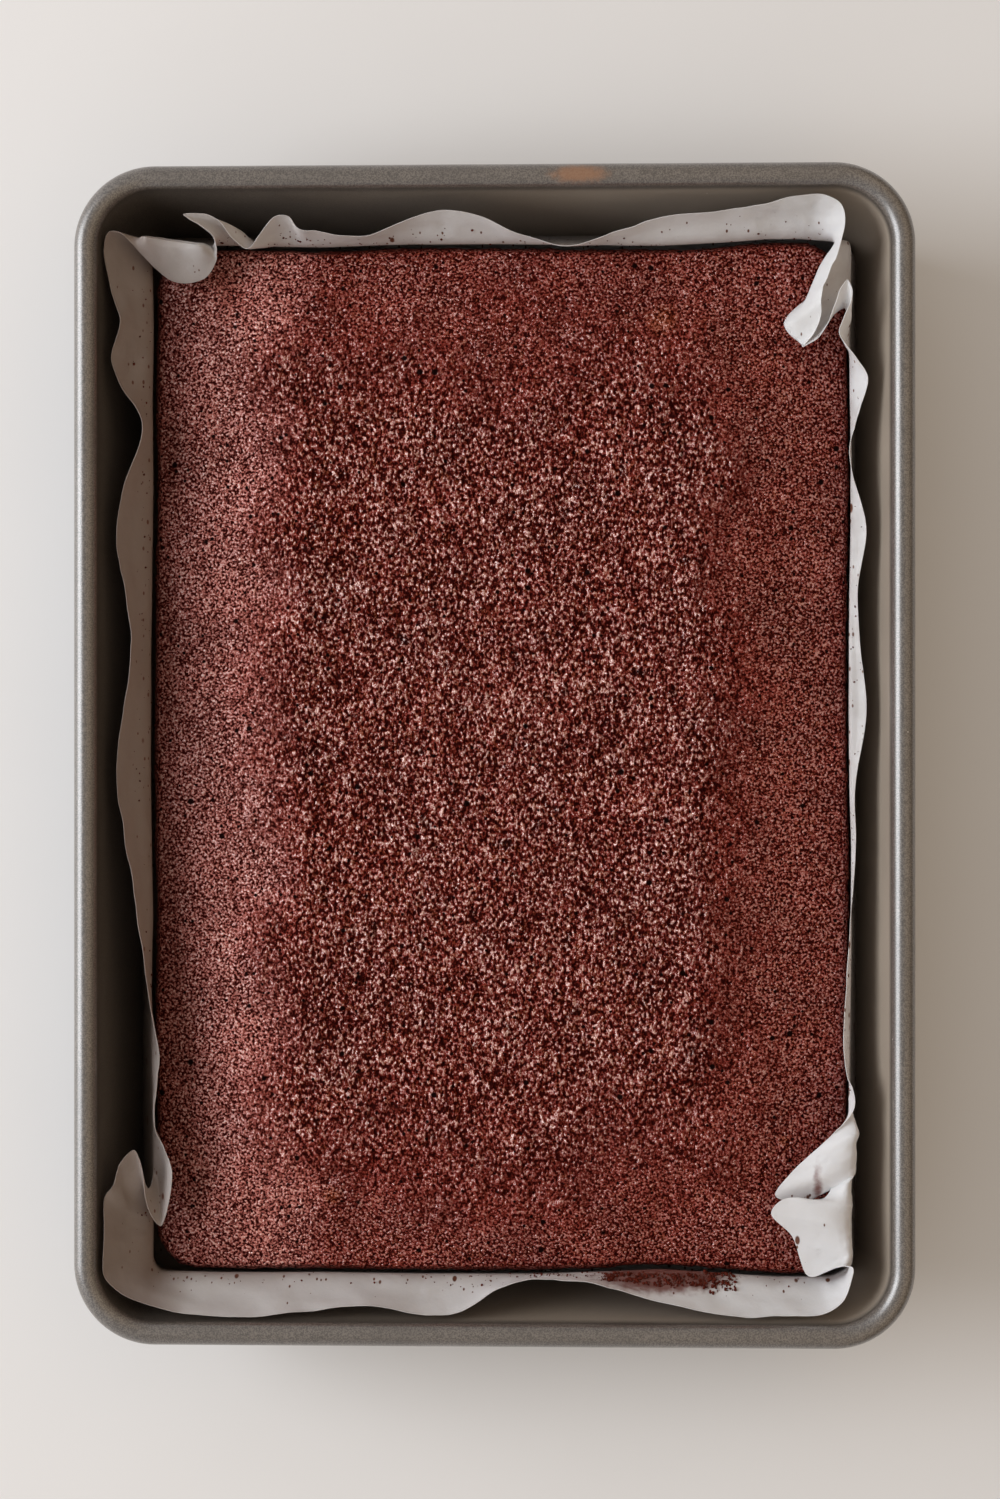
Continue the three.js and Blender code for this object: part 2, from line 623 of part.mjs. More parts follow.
function paperGeometry() {
  const ribs = paperRibs();
  const rowCount = ribs[0].length;
  const count = ribs.length;
  const middle = [];
  for (let row = 0; row < rowCount; row++) middle.push(...ribs.map((rib) => rib[row]));
  const centre = middle.length;
  middle.push([0, 0, ribs[0][0][2]]);
  const outer = [];
  for (let row = 0; row + 1 < rowCount; row++) {
    outer.push(...band(row * count, (row + 1) * count, count));
  }
  outer.push(...fan(0, count, centre, false));

  // Both faces are the middle surface moved half a thickness along its normals, split alike.
  const normals = surface(middle, outer).getAttribute("normal");
  const face = (distance) =>
    middle.map((point, i) =>
      new THREE.Vector3()
        .fromBufferAttribute(normals, i)
        .multiplyScalar(distance)
        .add(new THREE.Vector3(...point))
        .toArray(),
    );
  const vertices = [...face(PAPER_THICKNESS / 2), ...face(-PAPER_THICKNESS / 2)];
  const inner = outer.map(([a, b, c]) => [a, c, b].map((vertex) => vertex + middle.length));
  const edge = (rowCount - 1) * count;
  const cut = band(edge, edge + middle.length, count);
  return surface(vertices, [...outer, ...inner, ...cut]);
}

// Assembly

function piece(name, geometry, finish) {
  const mesh = new THREE.Mesh(geometry, new THREE.MeshStandardMaterial(finish));
  mesh.name = name;
  return mesh;
}

const group = new THREE.Group();
group.add(
  piece("pan", panGeometry(), { color: 0x5f5850, roughness: 0.42, metalness: 0.75 }),
  piece("liner", paperGeometry(), { color: 0xd8d2cf, roughness: 0.7, metalness: 0 }),
  piece("cake", cakeGeometry(), { color: 0x5c2d26, roughness: 0.55, metalness: 0 }),
);

export default group;
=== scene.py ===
"""A chocolate sheet cake in its baking pan, on the baking paper that lines the pan.

The pan stands on z = 0 with its length along Y. The classes hold their sizes in
millimetres, and each mesh is scaled to metres as it is made.
"""

import logging
import math
from dataclasses import dataclass, field
from enum import Enum
from itertools import combinations
from typing import Callable, Iterable, Sequence

import bpy
import numpy as np
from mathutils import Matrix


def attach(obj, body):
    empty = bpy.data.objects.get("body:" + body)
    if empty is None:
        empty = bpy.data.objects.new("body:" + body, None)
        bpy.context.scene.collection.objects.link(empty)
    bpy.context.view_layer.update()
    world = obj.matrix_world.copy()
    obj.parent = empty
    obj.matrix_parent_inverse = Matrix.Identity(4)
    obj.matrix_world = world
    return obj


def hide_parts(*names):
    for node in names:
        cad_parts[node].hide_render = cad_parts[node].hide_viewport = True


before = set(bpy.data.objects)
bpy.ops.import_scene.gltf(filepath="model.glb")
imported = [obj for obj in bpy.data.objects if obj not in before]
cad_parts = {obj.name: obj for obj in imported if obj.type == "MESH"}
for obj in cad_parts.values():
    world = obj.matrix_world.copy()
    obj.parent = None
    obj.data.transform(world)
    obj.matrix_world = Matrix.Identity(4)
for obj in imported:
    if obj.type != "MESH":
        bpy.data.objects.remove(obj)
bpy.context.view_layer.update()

MM = 0.001
Point = tuple[float, float, float]
Colour = tuple[float, float, float]

# Where a change starts and ends, then what it gives there if that isn't 0 and 1
Ramp = tuple[float, ...]

log = logging.getLogger("sheet_cake")


class Effect(Enum):
    """The shader effects that more than one finish uses."""

    GRAIN = "fine grain"
    PATCH = "soft patch"
    SPOTS = "scattered spots"
    CRUMB = "cake crumb"


# Helpers for numbers and shapes


def smoothstep(value: np.ndarray, low: float, high: float) -> np.ndarray:
    """Rise smoothly from 0 to 1.

    Args:
        value: Numbers to test.
        low: Where the rise starts.
        high: Where the rise ends.

    Returns:
        Numbers from 0 to 1.
    """
    share = np.clip((value - low) / (high - low), 0.0, 1.0)
    return share * share * (3.0 - 2.0 * share)


def between_corners(
    x: np.ndarray,
    y: np.ndarray,
    size: float,
    corner: Callable[[np.ndarray, np.ndarray], np.ndarray],
) -> np.ndarray:
    """Blend smoothly between the numbers at the corners of a square grid.

    Args:
        x: First coordinates.
        y: Second coordinates.
        size: How wide the grid's squares are.
        corner: Gives the numbers at columns and rows of corners.

    Returns:
        The blended numbers.
    """
    column = np.floor(x / size)
    row = np.floor(y / size)
    share_x = smoothstep(x / size - column, 0.0, 1.0)
    share_y = smoothstep(y / size - row, 0.0, 1.0)
    near, far = (
        corner(column, line) * (1 - share_x) + corner(column + 1, line) * share_x
        for line in (row, row + 1)
    )
    return near * (1 - share_y) + far * share_y


class Noise:
    """Smooth uneven relief that comes out the same on each run."""

    TABLE = 256

    def __init__(self, seed: int) -> None:
        """Draw the tables that the relief is made from.

        Args:
            seed: Number that picks the relief.
        """
        draw = np.random.default_rng(seed)
        self.values = draw.uniform(-1.0, 1.0, (self.TABLE, self.TABLE))
        self.places = draw.uniform(0.0, 1.0, (self.TABLE, self.TABLE, 2))

    def cell(self, table: np.ndarray, column: np.ndarray, row: np.ndarray) -> np.ndarray:
        """Read a table, which repeats, at columns and rows."""
        return table[column.astype(int) % self.TABLE, row.astype(int) % self.TABLE]

    def waves(self, x: np.ndarray, y: np.ndarray, size: float) -> np.ndarray:
        """Make soft waves.

        Args:
            x: First coordinates.
            y: Second coordinates.
            size: About how far apart the waves are.

        Returns:
            Heights from -1 to 1.
        """
        return between_corners(x, y, size, lambda column, row: self.cell(self.values, column, row))

    def cobbles(self, x: np.ndarray, y: np.ndarray, size: float) -> np.ndarray:
        """Make rounded lumps that meet in narrow joints.

        Args:
            x: First coordinates.
            y: Second coordinates.
            size: About how wide a lump is.

        Returns:
            Heights from about 0 in the joints to 1 on the lumps.
        """
        column = np.floor(x / size)
        row = np.floor(y / size)
        nearest = np.ones(np.shape(x))
        for step_x in (-1, 0, 1):
            for step_y in (-1, 0, 1):
                place = self.cell(self.places, column + step_x, row + step_y)
                away_x = x / size - column - step_x - place[..., 0]
                away_y = y / size - row - step_y - place[..., 1]
                nearest = np.minimum(nearest, away_x**2 + away_y**2)
        return 1.0 - nearest


def band(lower: int, upper: int, count: int) -> np.ndarray:
    """List the faces between two neighbouring closed rings.

    Args:
        lower: Number of the first ring's first vertex.
        upper: Number of the second ring's first vertex.
        count: Vertices in a ring.

    Returns:
        One row of four vertex numbers for each face.
    """
    here = np.arange(count)
    following = (here + 1) % count
    return np.stack([lower + here, upper + here, upper + following, lower + following], axis=1)


def fan(ring: int, count: int, middle: int, faces_up: bool) -> np.ndarray:
    """List the faces that close a ring to one middle vertex.

    Args:
        ring: Number of the ring's first vertex.
        count: Vertices in the ring.
        middle: Number of the middle vertex.
        faces_up: Whether the faces look up.

    Returns:
        One row of three vertex numbers for each face.
    """
    here = ring + np.arange(count)
    following = ring + (np.arange(count) + 1) % count
    centre = np.full(count, middle)
    order = [here, centre, following] if faces_up else [here, following, centre]
    return np.stack(order, axis=1)


def make_mesh(
    name: str,
    points: np.ndarray,
    faces: Iterable[np.ndarray],
    material: bpy.types.Material,
    sharp_degrees: float = 50.0,
) -> bpy.types.Object:
    """Make a smooth-shaded object from points in millimetres.

    Args:
        name: The object's name.
        points: One row of three coordinates for each vertex.
        faces: Lists of faces as rows of vertex numbers.
        material: The object's material.
        sharp_degrees: Edges that turn more than this stay sharp.

    Returns:
        The new object, linked to the scene.
    """
    mesh = bpy.data.meshes.new(name)
    every_face = [face for rows in faces for face in rows.tolist()]
    mesh.from_pydata((points * MM).tolist(), [], every_face)
    mesh.shade_smooth()
    mesh.set_sharp_from_angle(angle=math.radians(sharp_degrees))
    mesh.materials.append(material)
    made = bpy.data.objects.new(name, mesh)
    bpy.context.collection.objects.link(made)
    return made


def add_values(piece: bpy.types.Object, name: str, values: np.ndarray) -> None:
    """Store one number for each vertex, which the piece's material reads by name.

    Args:
        piece: The object that gets the numbers.
        name: The name that the material uses.
        values: One number for each vertex.
    """
    layer = piece.data.attributes.new(name, "FLOAT", "POINT")
    layer.data.foreach_set("value", values.astype(np.float32))


# Shader nodes


class NodeSheet:
    """Short calls for the nodes that the finishes and effects are made of."""

    def __init__(self, tree: bpy.types.NodeTree) -> None:
        """Keep the node tree that the calls add to.

        Args:
            tree: A material's or a group's nodes.
        """
        self.tree = tree

    def add(self, kind: str, **settings: object) -> bpy.types.Node:
        """Add one node.

        Args:
            kind: Blender's name for the node.
            settings: Properties to set on it.

        Returns:
            The new node.
        """
        node = self.tree.nodes.new(kind)
        for name, value in settings.items():
            setattr(node, name, value)
        return node

    def feed(self, socket: bpy.types.NodeSocket, value: object) -> None:
        """Link an output to a socket, or set the socket.

        Args:
            socket: The input.
            value: An output, a number, a vector or a colour.
        """
        if isinstance(value, bpy.types.NodeSocket):
            self.tree.links.new(value, socket)
        elif socket.type == "RGBA" and len(value) == 3:
            socket.default_value = (*value, 1.0)
        else:
            socket.default_value = value

    def place(self) -> bpy.types.NodeSocket:
        """Give the point's place on the object, in metres."""
        return self.add("ShaderNodeTexCoord").outputs["Object"]

    def axes(self, vector: bpy.types.NodeSocket) -> list[bpy.types.NodeSocket]:
        """Split a vector.

        Args:
            vector: The vector.

        Returns:
            Its X, Y and Z.
        """
        node = self.add("ShaderNodeSeparateXYZ")
        self.feed(node.inputs[0], vector)
        return list(node.outputs)

    def value(self, name: str) -> bpy.types.NodeSocket:
        """Read the numbers that the mesh stores under a name."""
        return self.add("ShaderNodeAttribute", attribute_name=name).outputs["Fac"]

    def math(self, operation: str, first: object, second: object = 0.0) -> bpy.types.NodeSocket:
        """Combine two numbers.

        Args:
            operation: Blender's name for the operation.
            first: A number or an output.
            second: A number or an output.

        Returns:
            The result.
        """
        node = self.add("ShaderNodeMath", operation=operation)
        self.feed(node.inputs[0], first)
        self.feed(node.inputs[1], second)
        return node.outputs[0]

    def vector_math(
        self, operation: str, first: object, second: object = (0.0, 0.0, 0.0)
    ) -> bpy.types.Node:
        """Combine two vectors.

        Args:
            operation: Blender's name for the operation.
            first: A vector or an output.
            second: A vector or an output.

        Returns:
            The node, because its result may be a vector or a number.
        """
        node = self.add("ShaderNodeVectorMath", operation=operation)
        self.feed(node.inputs[0], first)
        self.feed(node.inputs[1], second)
        return node

    def remap(
        self,
        value: object,
        low: object,
        high: object,
        to_low: object = 0.0,
        to_high: object = 1.0,
    ) -> bpy.types.NodeSocket:
        """Turn one range of numbers smoothly into another, and stop at its ends.

        Args:
            value: A number or an output.
            low: Start of the range that is read.
            high: End of the range that is read.
            to_low: Result at the start.
            to_high: Result at the end.

        Returns:
            The result.
        """
        node = self.add("ShaderNodeMapRange", interpolation_type="SMOOTHSTEP", clamp=True)
        for name, number in (
            ("Value", value),
            ("From Min", low),
            ("From Max", high),
            ("To Min", to_low),
            ("To Max", to_high),
        ):
            self.feed(node.inputs[name], number)
        return node.outputs["Result"]

    def mix(self, share: object, first: object, second: object) -> bpy.types.NodeSocket:
        """Mix two colours.

        Args:
            share: How much of the second colour, from 0 to 1.
            first: A colour or an output.
            second: A colour or an output.

        Returns:
            The mixed colour.
        """
        node = self.add("ShaderNodeMix", data_type="RGBA")
        self.feed(node.inputs[0], share)
        self.feed(node.inputs[6], first)
        self.feed(node.inputs[7], second)
        return node.outputs[2]

    def blend(self, share: object, first: object, second: object) -> bpy.types.NodeSocket:
        """Mix two numbers.

        Args:
            share: How much of the second number, from 0 to 1.
            first: A number or an output.
            second: A number or an output.

        Returns:
            The mixed number.
        """
        node = self.add("ShaderNodeMix", data_type="FLOAT")
        self.feed(node.inputs[0], share)
        self.feed(node.inputs[2], first)
        self.feed(node.inputs[3], second)
        return node.outputs[0]

    def multiply(self, first: object, second: object) -> bpy.types.NodeSocket:
        """Multiply two numbers."""
        return self.math("MULTIPLY", first, second)

    def noise(
        self, vector: object, size: object, detail: object, roughness: float = 0.5
    ) -> bpy.types.Node:
        """Add cloudy noise.

        Args:
            vector: The place, in metres.
            size: About how far apart the clouds are, in millimetres.
            detail: How many finer layers the noise has.
            roughness: How strong the finer layers are.

        Returns:
            The noise node.
        """
        node = self.add("ShaderNodeTexNoise")
        self.feed(node.inputs["Vector"], vector)
        self.feed(node.inputs["Scale"], self.math("DIVIDE", 1 / MM, size))
        self.feed(node.inputs["Detail"], detail)
        self.feed(node.inputs["Roughness"], roughness)
        return node

    def cells(self, vector: object, size: object) -> bpy.types.Node:
        """Add scattered cells.

        Args:
            vector: The place, in metres.
            size: About how wide a cell is, in millimetres.

        Returns:
            The node, with the distance to the cell's middle and a random colour.
        """
        node = self.add("ShaderNodeTexVoronoi")
        self.feed(node.inputs["Vector"], vector)
        self.feed(node.inputs["Scale"], self.math("DIVIDE", 1 / MM, size))
        return node

    def use(self, effect: bpy.types.NodeTree, **inputs: object) -> bpy.types.Node:
        """Place a shared effect.

        Args:
            effect: The effect's node group.
            inputs: The group's inputs by name, with an underscore for a space.

        Returns:
            The group node.
        """
        node = self.add("ShaderNodeGroup", node_tree=effect)
        for name, value in inputs.items():
            self.feed(node.inputs[name.replace("_", " ")], value)
        return node

    def bump(self, height: bpy.types.NodeSocket) -> bpy.types.NodeSocket:
        """Turn heights into a normal.

        Args:
            height: Heights in millimetres.

        Returns:
            The normal.
        """
        node = self.add("ShaderNodeBump")
        node.inputs["Distance"].default_value = MM
        self.feed(node.inputs["Height"], height)
        return node.outputs["Normal"]


class Effects:
    """The shared shader effects, each a node group that is made once."""

    FLOAT = "NodeSocketFloat"
    VECTOR = "NodeSocketVector"
    EDGE_DETAIL = 3.0
    SMALLEST_SPOT = 0.3
    SPOT_CORE = 0.6
    CRUMB_DETAIL = 1.8
    CRUMB_ROUGHNESS = 0.62
    CRUMB_FLOOR = 0.28
    CRUMB_CONTRAST = 1.9
    DOME_SHARE = 0.35

    def __init__(self) -> None:
        """Make every group."""
        self.groups = {
            Effect.GRAIN: self.make_grain(),
            Effect.PATCH: self.make_patch(),
            Effect.SPOTS: self.make_spots(),
        }
        self.groups[Effect.CRUMB] = self.make_crumb()

    def __getitem__(self, effect: Effect) -> bpy.types.NodeTree:
        """Give the group of an effect."""
        return self.groups[effect]

    def start(
        self, effect: Effect, inputs: Sequence[tuple[str, str]], outputs: Sequence[tuple[str, str]]
    ) -> tuple[NodeSheet, bpy.types.Node, bpy.types.Node]:
        """Start a group.

        Args:
            effect: The effect that the group makes.
            inputs: Name and kind of each input.
            outputs: Name and kind of each output.

        Returns:
            The group's sheet, its input node and its output node.
        """
        tree = bpy.data.node_groups.new(effect.value, "ShaderNodeTree")
        for name, kind in inputs:
            tree.interface.new_socket(name=name, in_out="INPUT", socket_type=kind)
        for name, kind in outputs:
            tree.interface.new_socket(name=name, in_out="OUTPUT", socket_type=kind)
        sheet = NodeSheet(tree)
        return sheet, sheet.add("NodeGroupInput"), sheet.add("NodeGroupOutput")

    def make_grain(self) -> bpy.types.NodeTree:
        """Make soft uneven grain of a given size.

        Returns:
            The group, with the grain as Value.
        """
        sheet, given, result = self.start(
            Effect.GRAIN,
            [("Vector", self.VECTOR), ("Size", self.FLOAT), ("Detail", self.FLOAT)],
            [("Value", self.FLOAT)],
        )
        noise = sheet.noise(*(given.outputs[name] for name in ("Vector", "Size", "Detail")))
        sheet.feed(result.inputs["Value"], noise.outputs["Fac"])
        return sheet.tree

    def make_patch(self) -> bpy.types.NodeTree:
        """Make a patch with an uneven edge at one place, such as a stain.

        Returns:
            The group, with the patch as Mask.
        """
        vectors = [(name, self.VECTOR) for name in ("Vector", "Centre", "Stretch")]
        sheet, given, result = self.start(
            Effect.PATCH,
            [*vectors, ("Radius", self.FLOAT), ("Edge", self.FLOAT)],
            [("Mask", self.FLOAT)],
        )
        place, centre, stretch, radius, edge = list(given.outputs)[:5]
        away = sheet.vector_math("SUBTRACT", place, centre).outputs[0]
        squeezed = sheet.vector_math("DIVIDE", away, stretch).outputs[0]
        distance = sheet.vector_math("LENGTH", squeezed).outputs["Value"]
        noise = sheet.noise(place, edge, self.EDGE_DETAIL)
        uneven = sheet.multiply(sheet.math("SUBTRACT", noise.outputs["Fac"], 0.5), edge)
        reach = sheet.math("ADD", sheet.math("DIVIDE", distance, MM), uneven)
        half_edge = sheet.multiply(edge, 0.5)
        start = sheet.math("SUBTRACT", radius, half_edge)
        end = sheet.math("ADD", radius, half_edge)
        sheet.feed(result.inputs["Mask"], sheet.remap(reach, start, end, 1.0, 0.0))
        return sheet.tree

    def make_spots(self) -> bpy.types.NodeTree:
        """Make small scattered spots, such as flecks or pinholes.

        Returns:
            The group, with the spots as Mask.
        """
        sheet, given, result = self.start(
            Effect.SPOTS,
            [("Vector", self.VECTOR)]
            + [(name, self.FLOAT) for name in ("Spacing", "Size", "Amount")],
            [("Mask", self.FLOAT)],
        )
        place, spacing, size, amount = list(given.outputs)[:4]
        cells = sheet.cells(place, spacing)
        draw = sheet.axes(cells.outputs["Color"])
        share = sheet.math("DIVIDE", size, spacing)
        own_size = sheet.multiply(share, sheet.remap(draw[1], 0.0, 1.0, self.SMALLEST_SPOT, 1.0))
        inner = sheet.multiply(own_size, self.SPOT_CORE)
        spot = sheet.remap(cells.outputs["Distance"], inner, own_size, 1.0, 0.0)
        chosen = sheet.math("LESS_THAN", draw[0], amount)
        sheet.feed(result.inputs["Mask"], sheet.multiply(spot, chosen))
        return sheet.tree

    def make_crumb(self) -> bpy.types.NodeTree:
        """Make the crumb's small rounded grains, with narrow joints between them.

        Returns:
            The group, with the grains as Height and a number for each grain as Draw.
        """
        sheet, given, result = self.start(
            Effect.CRUMB,
            [("Vector", self.VECTOR), ("Size", self.FLOAT), ("Uneven", self.FLOAT)],
            [("Height", self.FLOAT), ("Draw", self.FLOAT)],
        )
        place, size, unevenness = list(given.outputs)[:3]
        noise = sheet.noise(place, size, self.CRUMB_DETAIL, self.CRUMB_ROUGHNESS)
        centred = sheet.vector_math("SUBTRACT", noise.outputs["Color"], (0.5, 0.5, 0.5))
        shift = sheet.vector_math("SCALE", centred.outputs[0])
        sheet.feed(shift.inputs["Scale"], sheet.multiply(unevenness, MM))
        moved = sheet.vector_math("ADD", place, shift.outputs[0]).outputs[0]
        cells = sheet.cells(moved, size)
        dome = sheet.math("SUBTRACT", 1.0, sheet.math("POWER", cells.outputs["Distance"], 2.0))
        lifted = sheet.math("SUBTRACT", noise.outputs["Fac"], self.CRUMB_FLOOR)
        uneven = sheet.multiply(lifted, self.CRUMB_CONTRAST)
        sheet.feed(result.inputs["Height"], sheet.blend(self.DOME_SHARE, uneven, dome))
        sheet.feed(result.inputs["Draw"], sheet.axes(cells.outputs["Color"])[0])
        return sheet.tree


# Finishes


@dataclass(frozen=True)
class Patch:
    """A stained or coloured patch of a surface, in millimetres, and how much it covers."""

    centre: Point
    stretch: Point
    radius: float
    edge: float
    share: float


@dataclass(frozen=True)
class Spots:
    """Scattered spots of a surface, in millimetres, and the share of places that have one."""

    spacing: float
    size: float
    amount: float


@dataclass(frozen=True)
class Finish:
    """What every finish has: a name, the shared effects and a shader of its own."""

    effects: Effects
    name: str = "finish"

    def material(self) -> bpy.types.Material:
        """Make the material.

        Returns:
            The material.
        """
        material = bpy.data.materials.new(self.name)
        material.use_nodes = True
        sheet = NodeSheet(material.node_tree)
        shader = material.node_tree.nodes["Principled BSDF"]
        for name, value in self.shading(sheet).items():
            sheet.feed(shader.inputs[name], value)
        return material

    def shading(self, sheet: NodeSheet) -> dict[str, object]:
        """Work out what the shader is fed.

        Args:
            sheet: The material's sheet.

        Returns:
            Outputs and plain values by the name of the shader's input.
        """
        raise NotImplementedError

    def grain(
        self, sheet: NodeSheet, place: object, size: float, detail: float
    ) -> bpy.types.NodeSocket:
        """Give soft uneven grain.

        Args:
            sheet: The material's sheet.
            place: The place, in metres.
            size: About how wide a grain is, in millimetres.
            detail: How many finer layers the grain has.

        Returns:
            The grain, from 0 to 1.
        """
        group = self.effects[Effect.GRAIN]
        return sheet.use(group, Vector=place, Size=size, Detail=detail).outputs["Value"]

    def patched(
        self, sheet: NodeSheet, place: object, patch: Patch, base: object, colour: object
    ) -> bpy.types.NodeSocket:
        """Colour one patch.

        Args:
            sheet: The material's sheet.
            place: The place, in metres.
            patch: The patch.
            base: The colour so far.
            colour: The patch's colour.

        Returns:
            The mixed colour.
        """
        group = sheet.use(
            self.effects[Effect.PATCH],
            Vector=place,
            Centre=tuple(MM * number for number in patch.centre),
            Stretch=patch.stretch,
            Radius=patch.radius,
            Edge=patch.edge,
        )
        return sheet.mix(sheet.multiply(group.outputs["Mask"], patch.share), base, colour)

    def spotted(
        self, sheet: NodeSheet, place: object, spots: Spots, amount: object = 1.0
    ) -> bpy.types.NodeSocket:
        """Scatter spots.

        Args:
            sheet: The material's sheet.
            place: The place, in metres.
            spots: The spots.
            amount: What their own amount is multiplied by.

        Returns:
            The spots' mask, from 0 to 1.
        """
        group = sheet.use(
            self.effects[Effect.SPOTS],
            Vector=place,
            Spacing=spots.spacing,
            Size=spots.size,
            Amount=sheet.multiply(amount, spots.amount),
        )
        return group.outputs["Mask"]


@dataclass(frozen=True)
class CakeFinish(Finish):
    """Dark red-brown chocolate crumb: moist and coarse in the middle, finer and duller outside,
    with painted highlights on the grain tips and painted shade in its crevices, pinholes and near
    the left side.
    """

    name: str = "chocolate crumb"
    # The joint colour is painted shade in the crevices between the grains and near the left side,
    # and it also darkens random clouds
    joint: Colour = (0.022, 0.0012, 0.0008)
    grain_colour: Colour = (0.300, 0.034, 0.020)
    warm_grain: Colour = (0.380, 0.078, 0.028)
    # The dull grain is a real duller crust, painted lighter as painted light on the left strip,
    # whose slope faces the light
    dull_grain_painted_light: Colour = (0.600, 0.165, 0.135)
    # Painted highlight: a pale pink colour on the highest grain tips stands in for glints of the
    # light
    painted_highlight: Colour = (0.740, 0.400, 0.340)
    # The hollow colour is painted shade: near black in the joints, down the side and in the
    # pinholes
    hollow: Colour = (0.006, 0.0010, 0.0008)
    narrowing: Point = (1.0, 0.75, 1.0)
    fine_size: float = 0.74
    fine_uneven: float = 0.5
    fine_height: float = 0.45
    fine_share_in_middle: float = 0.5
    coarse_size: float = 0.92
    coarse_uneven: float = 0.9
    coarse_height: float = 0.95
    swell_size: float = 3.4
    swell_detail: float = 2.0
    swell_heights: Ramp = (0.8, 3.2)
    cloud_size: float = 16.0
    cloud_detail: float = 4.0
    cloud_ramp: Ramp = (0.35, 0.65, 0.0, 0.25)
    relief_share: float = 0.08
    warm_ramp: Ramp = (0.70, 1.1)
    painted_highlight_ramp: Ramp = (0.59, 0.83)
    painted_highlight_shares: Ramp = (0.25, 1.0)
    painted_crevice_shade_ramp: Ramp = (0.37, 0.69)
    glaze_ramp: Ramp = (0.50, 0.74)
    glaze_shares: Ramp = (1.0, 0.2)
    roughness: float = 0.5
    sheen_of_base: float = 0.02
    glaze_roughness: float = 0.17
    glaze_index: float = 2.3
    pinholes: tuple[Spots, ...] = (Spots(2.6, 0.7, 0.5), Spots(4.6, 1.2, 0.22))

    # The orange patch at the back, the red lump at the front left, the orange spot at the right
    warm_patches: tuple[Patch, ...] = (
        Patch((50.0, 130.0, 38.0), (1.0, 1.0, 3.0), 4.0, 4.0, 0.75),
        Patch((-49.0, -132.0, 38.0), (1.0, 1.0, 3.0), 2.4, 2.4, 0.8),
        Patch((86.5, -115.0, 34.0), (1.0, 1.0, 3.0), 1.6, 1.6, 0.8),
    )

    def shading(self, sheet: NodeSheet) -> dict[str, object]:
        """Work out what the shader is fed.

        Args:
            sheet: The material's sheet.

        Returns:
            Outputs and plain values by the name of the shader's input.
        """
        place = sheet.place()
        middle, dull_and_painted_light, painted_pit_shade, shade, relief = (
            sheet.value(name) for name in ("middle", "dull_and_painted_light", "painted_pit_shade", "shade", "relief")
        )
        crumb = self.effects[Effect.CRUMB]
        slim = sheet.vector_math("MULTIPLY", place, self.narrowing).outputs[0]
        fine = sheet.use(crumb, Vector=place, Size=self.fine_size, Uneven=self.fine_uneven)
        coarse = sheet.use(crumb, Vector=slim, Size=self.coarse_size, Uneven=self.coarse_uneven)

        fine_grains = sheet.multiply(fine.outputs["Height"], self.fine_height)
        coarse_grains = sheet.multiply(coarse.outputs["Height"], self.coarse_height)
        lighter_fine = sheet.multiply(fine_grains, self.fine_share_in_middle)
        both = sheet.math("ADD", lighter_fine, coarse_grains)
        swell = self.grain(sheet, slim, self.swell_size, self.swell_detail)
        broad = sheet.multiply(swell, sheet.blend(middle, *self.swell_heights))
        height = sheet.math("ADD", sheet.blend(middle, fine_grains, both), broad)

        rise = sheet.blend(middle, fine.outputs["Height"], coarse.outputs["Height"])
        rise = sheet.math("ADD", rise, sheet.multiply(relief, self.relief_share))
        draw = sheet.blend(middle, fine.outputs["Draw"], coarse.outputs["Draw"])
        top = sheet.mix(sheet.remap(draw, *self.warm_ramp), self.grain_colour, self.warm_grain)
        # Dull crust, with painted light on the left strip
        top = sheet.mix(dull_and_painted_light, top, self.dull_grain_painted_light)
        cloud = self.grain(sheet, place, self.cloud_size, self.cloud_detail)
        top = sheet.mix(sheet.remap(cloud, *self.cloud_ramp), top, self.joint)
        for patch in self.warm_patches:
            top = self.patched(sheet, place, patch, top, self.warm_grain)
        # Painted highlight: the highest grain tips are painted pale, most in the middle and the
        # dull left strip
        painted_highlight_amount = sheet.blend(sheet.math("ADD", middle, dull_and_painted_light), *self.painted_highlight_shares)
        top = sheet.mix(sheet.multiply(sheet.remap(rise, *self.painted_highlight_ramp), painted_highlight_amount), top, self.painted_highlight)
        # Painted shade: the crumb darkens towards the left side, where the pan's wall shades it
        top = sheet.mix(shade, top, self.joint)
        # Painted shade: the lower parts of the grain take the dark joint colour, where shade would
        # fall between the grains
        base = sheet.mix(sheet.remap(rise, *self.painted_crevice_shade_ramp), self.joint, top)
        # Painted shade: the joints between the coarse grains and the side below the top edge go
        # near black
        base = sheet.mix(painted_pit_shade, base, self.hollow)
        shine = sheet.blend(shade, *self.glaze_shares)
        glaze = sheet.multiply(sheet.remap(rise, *self.glaze_ramp), shine)
        # Painted shade: the pinholes are near-black spots without depth
        for pinholes in self.pinholes:
            holes = self.spotted(sheet, place, pinholes)
            base = sheet.mix(holes, base, self.hollow)
            glaze = sheet.blend(holes, glaze, 0.0)
        normal = sheet.bump(height)
        return {
            "Base Color": base,
            "Coat Weight": glaze,
            "Normal": normal,
            "Coat Normal": normal,
            "Roughness": self.roughness,
            "Specular IOR Level": self.sheen_of_base,
            "Coat Roughness": self.glaze_roughness,
            "Coat IOR": self.glaze_index,
        }


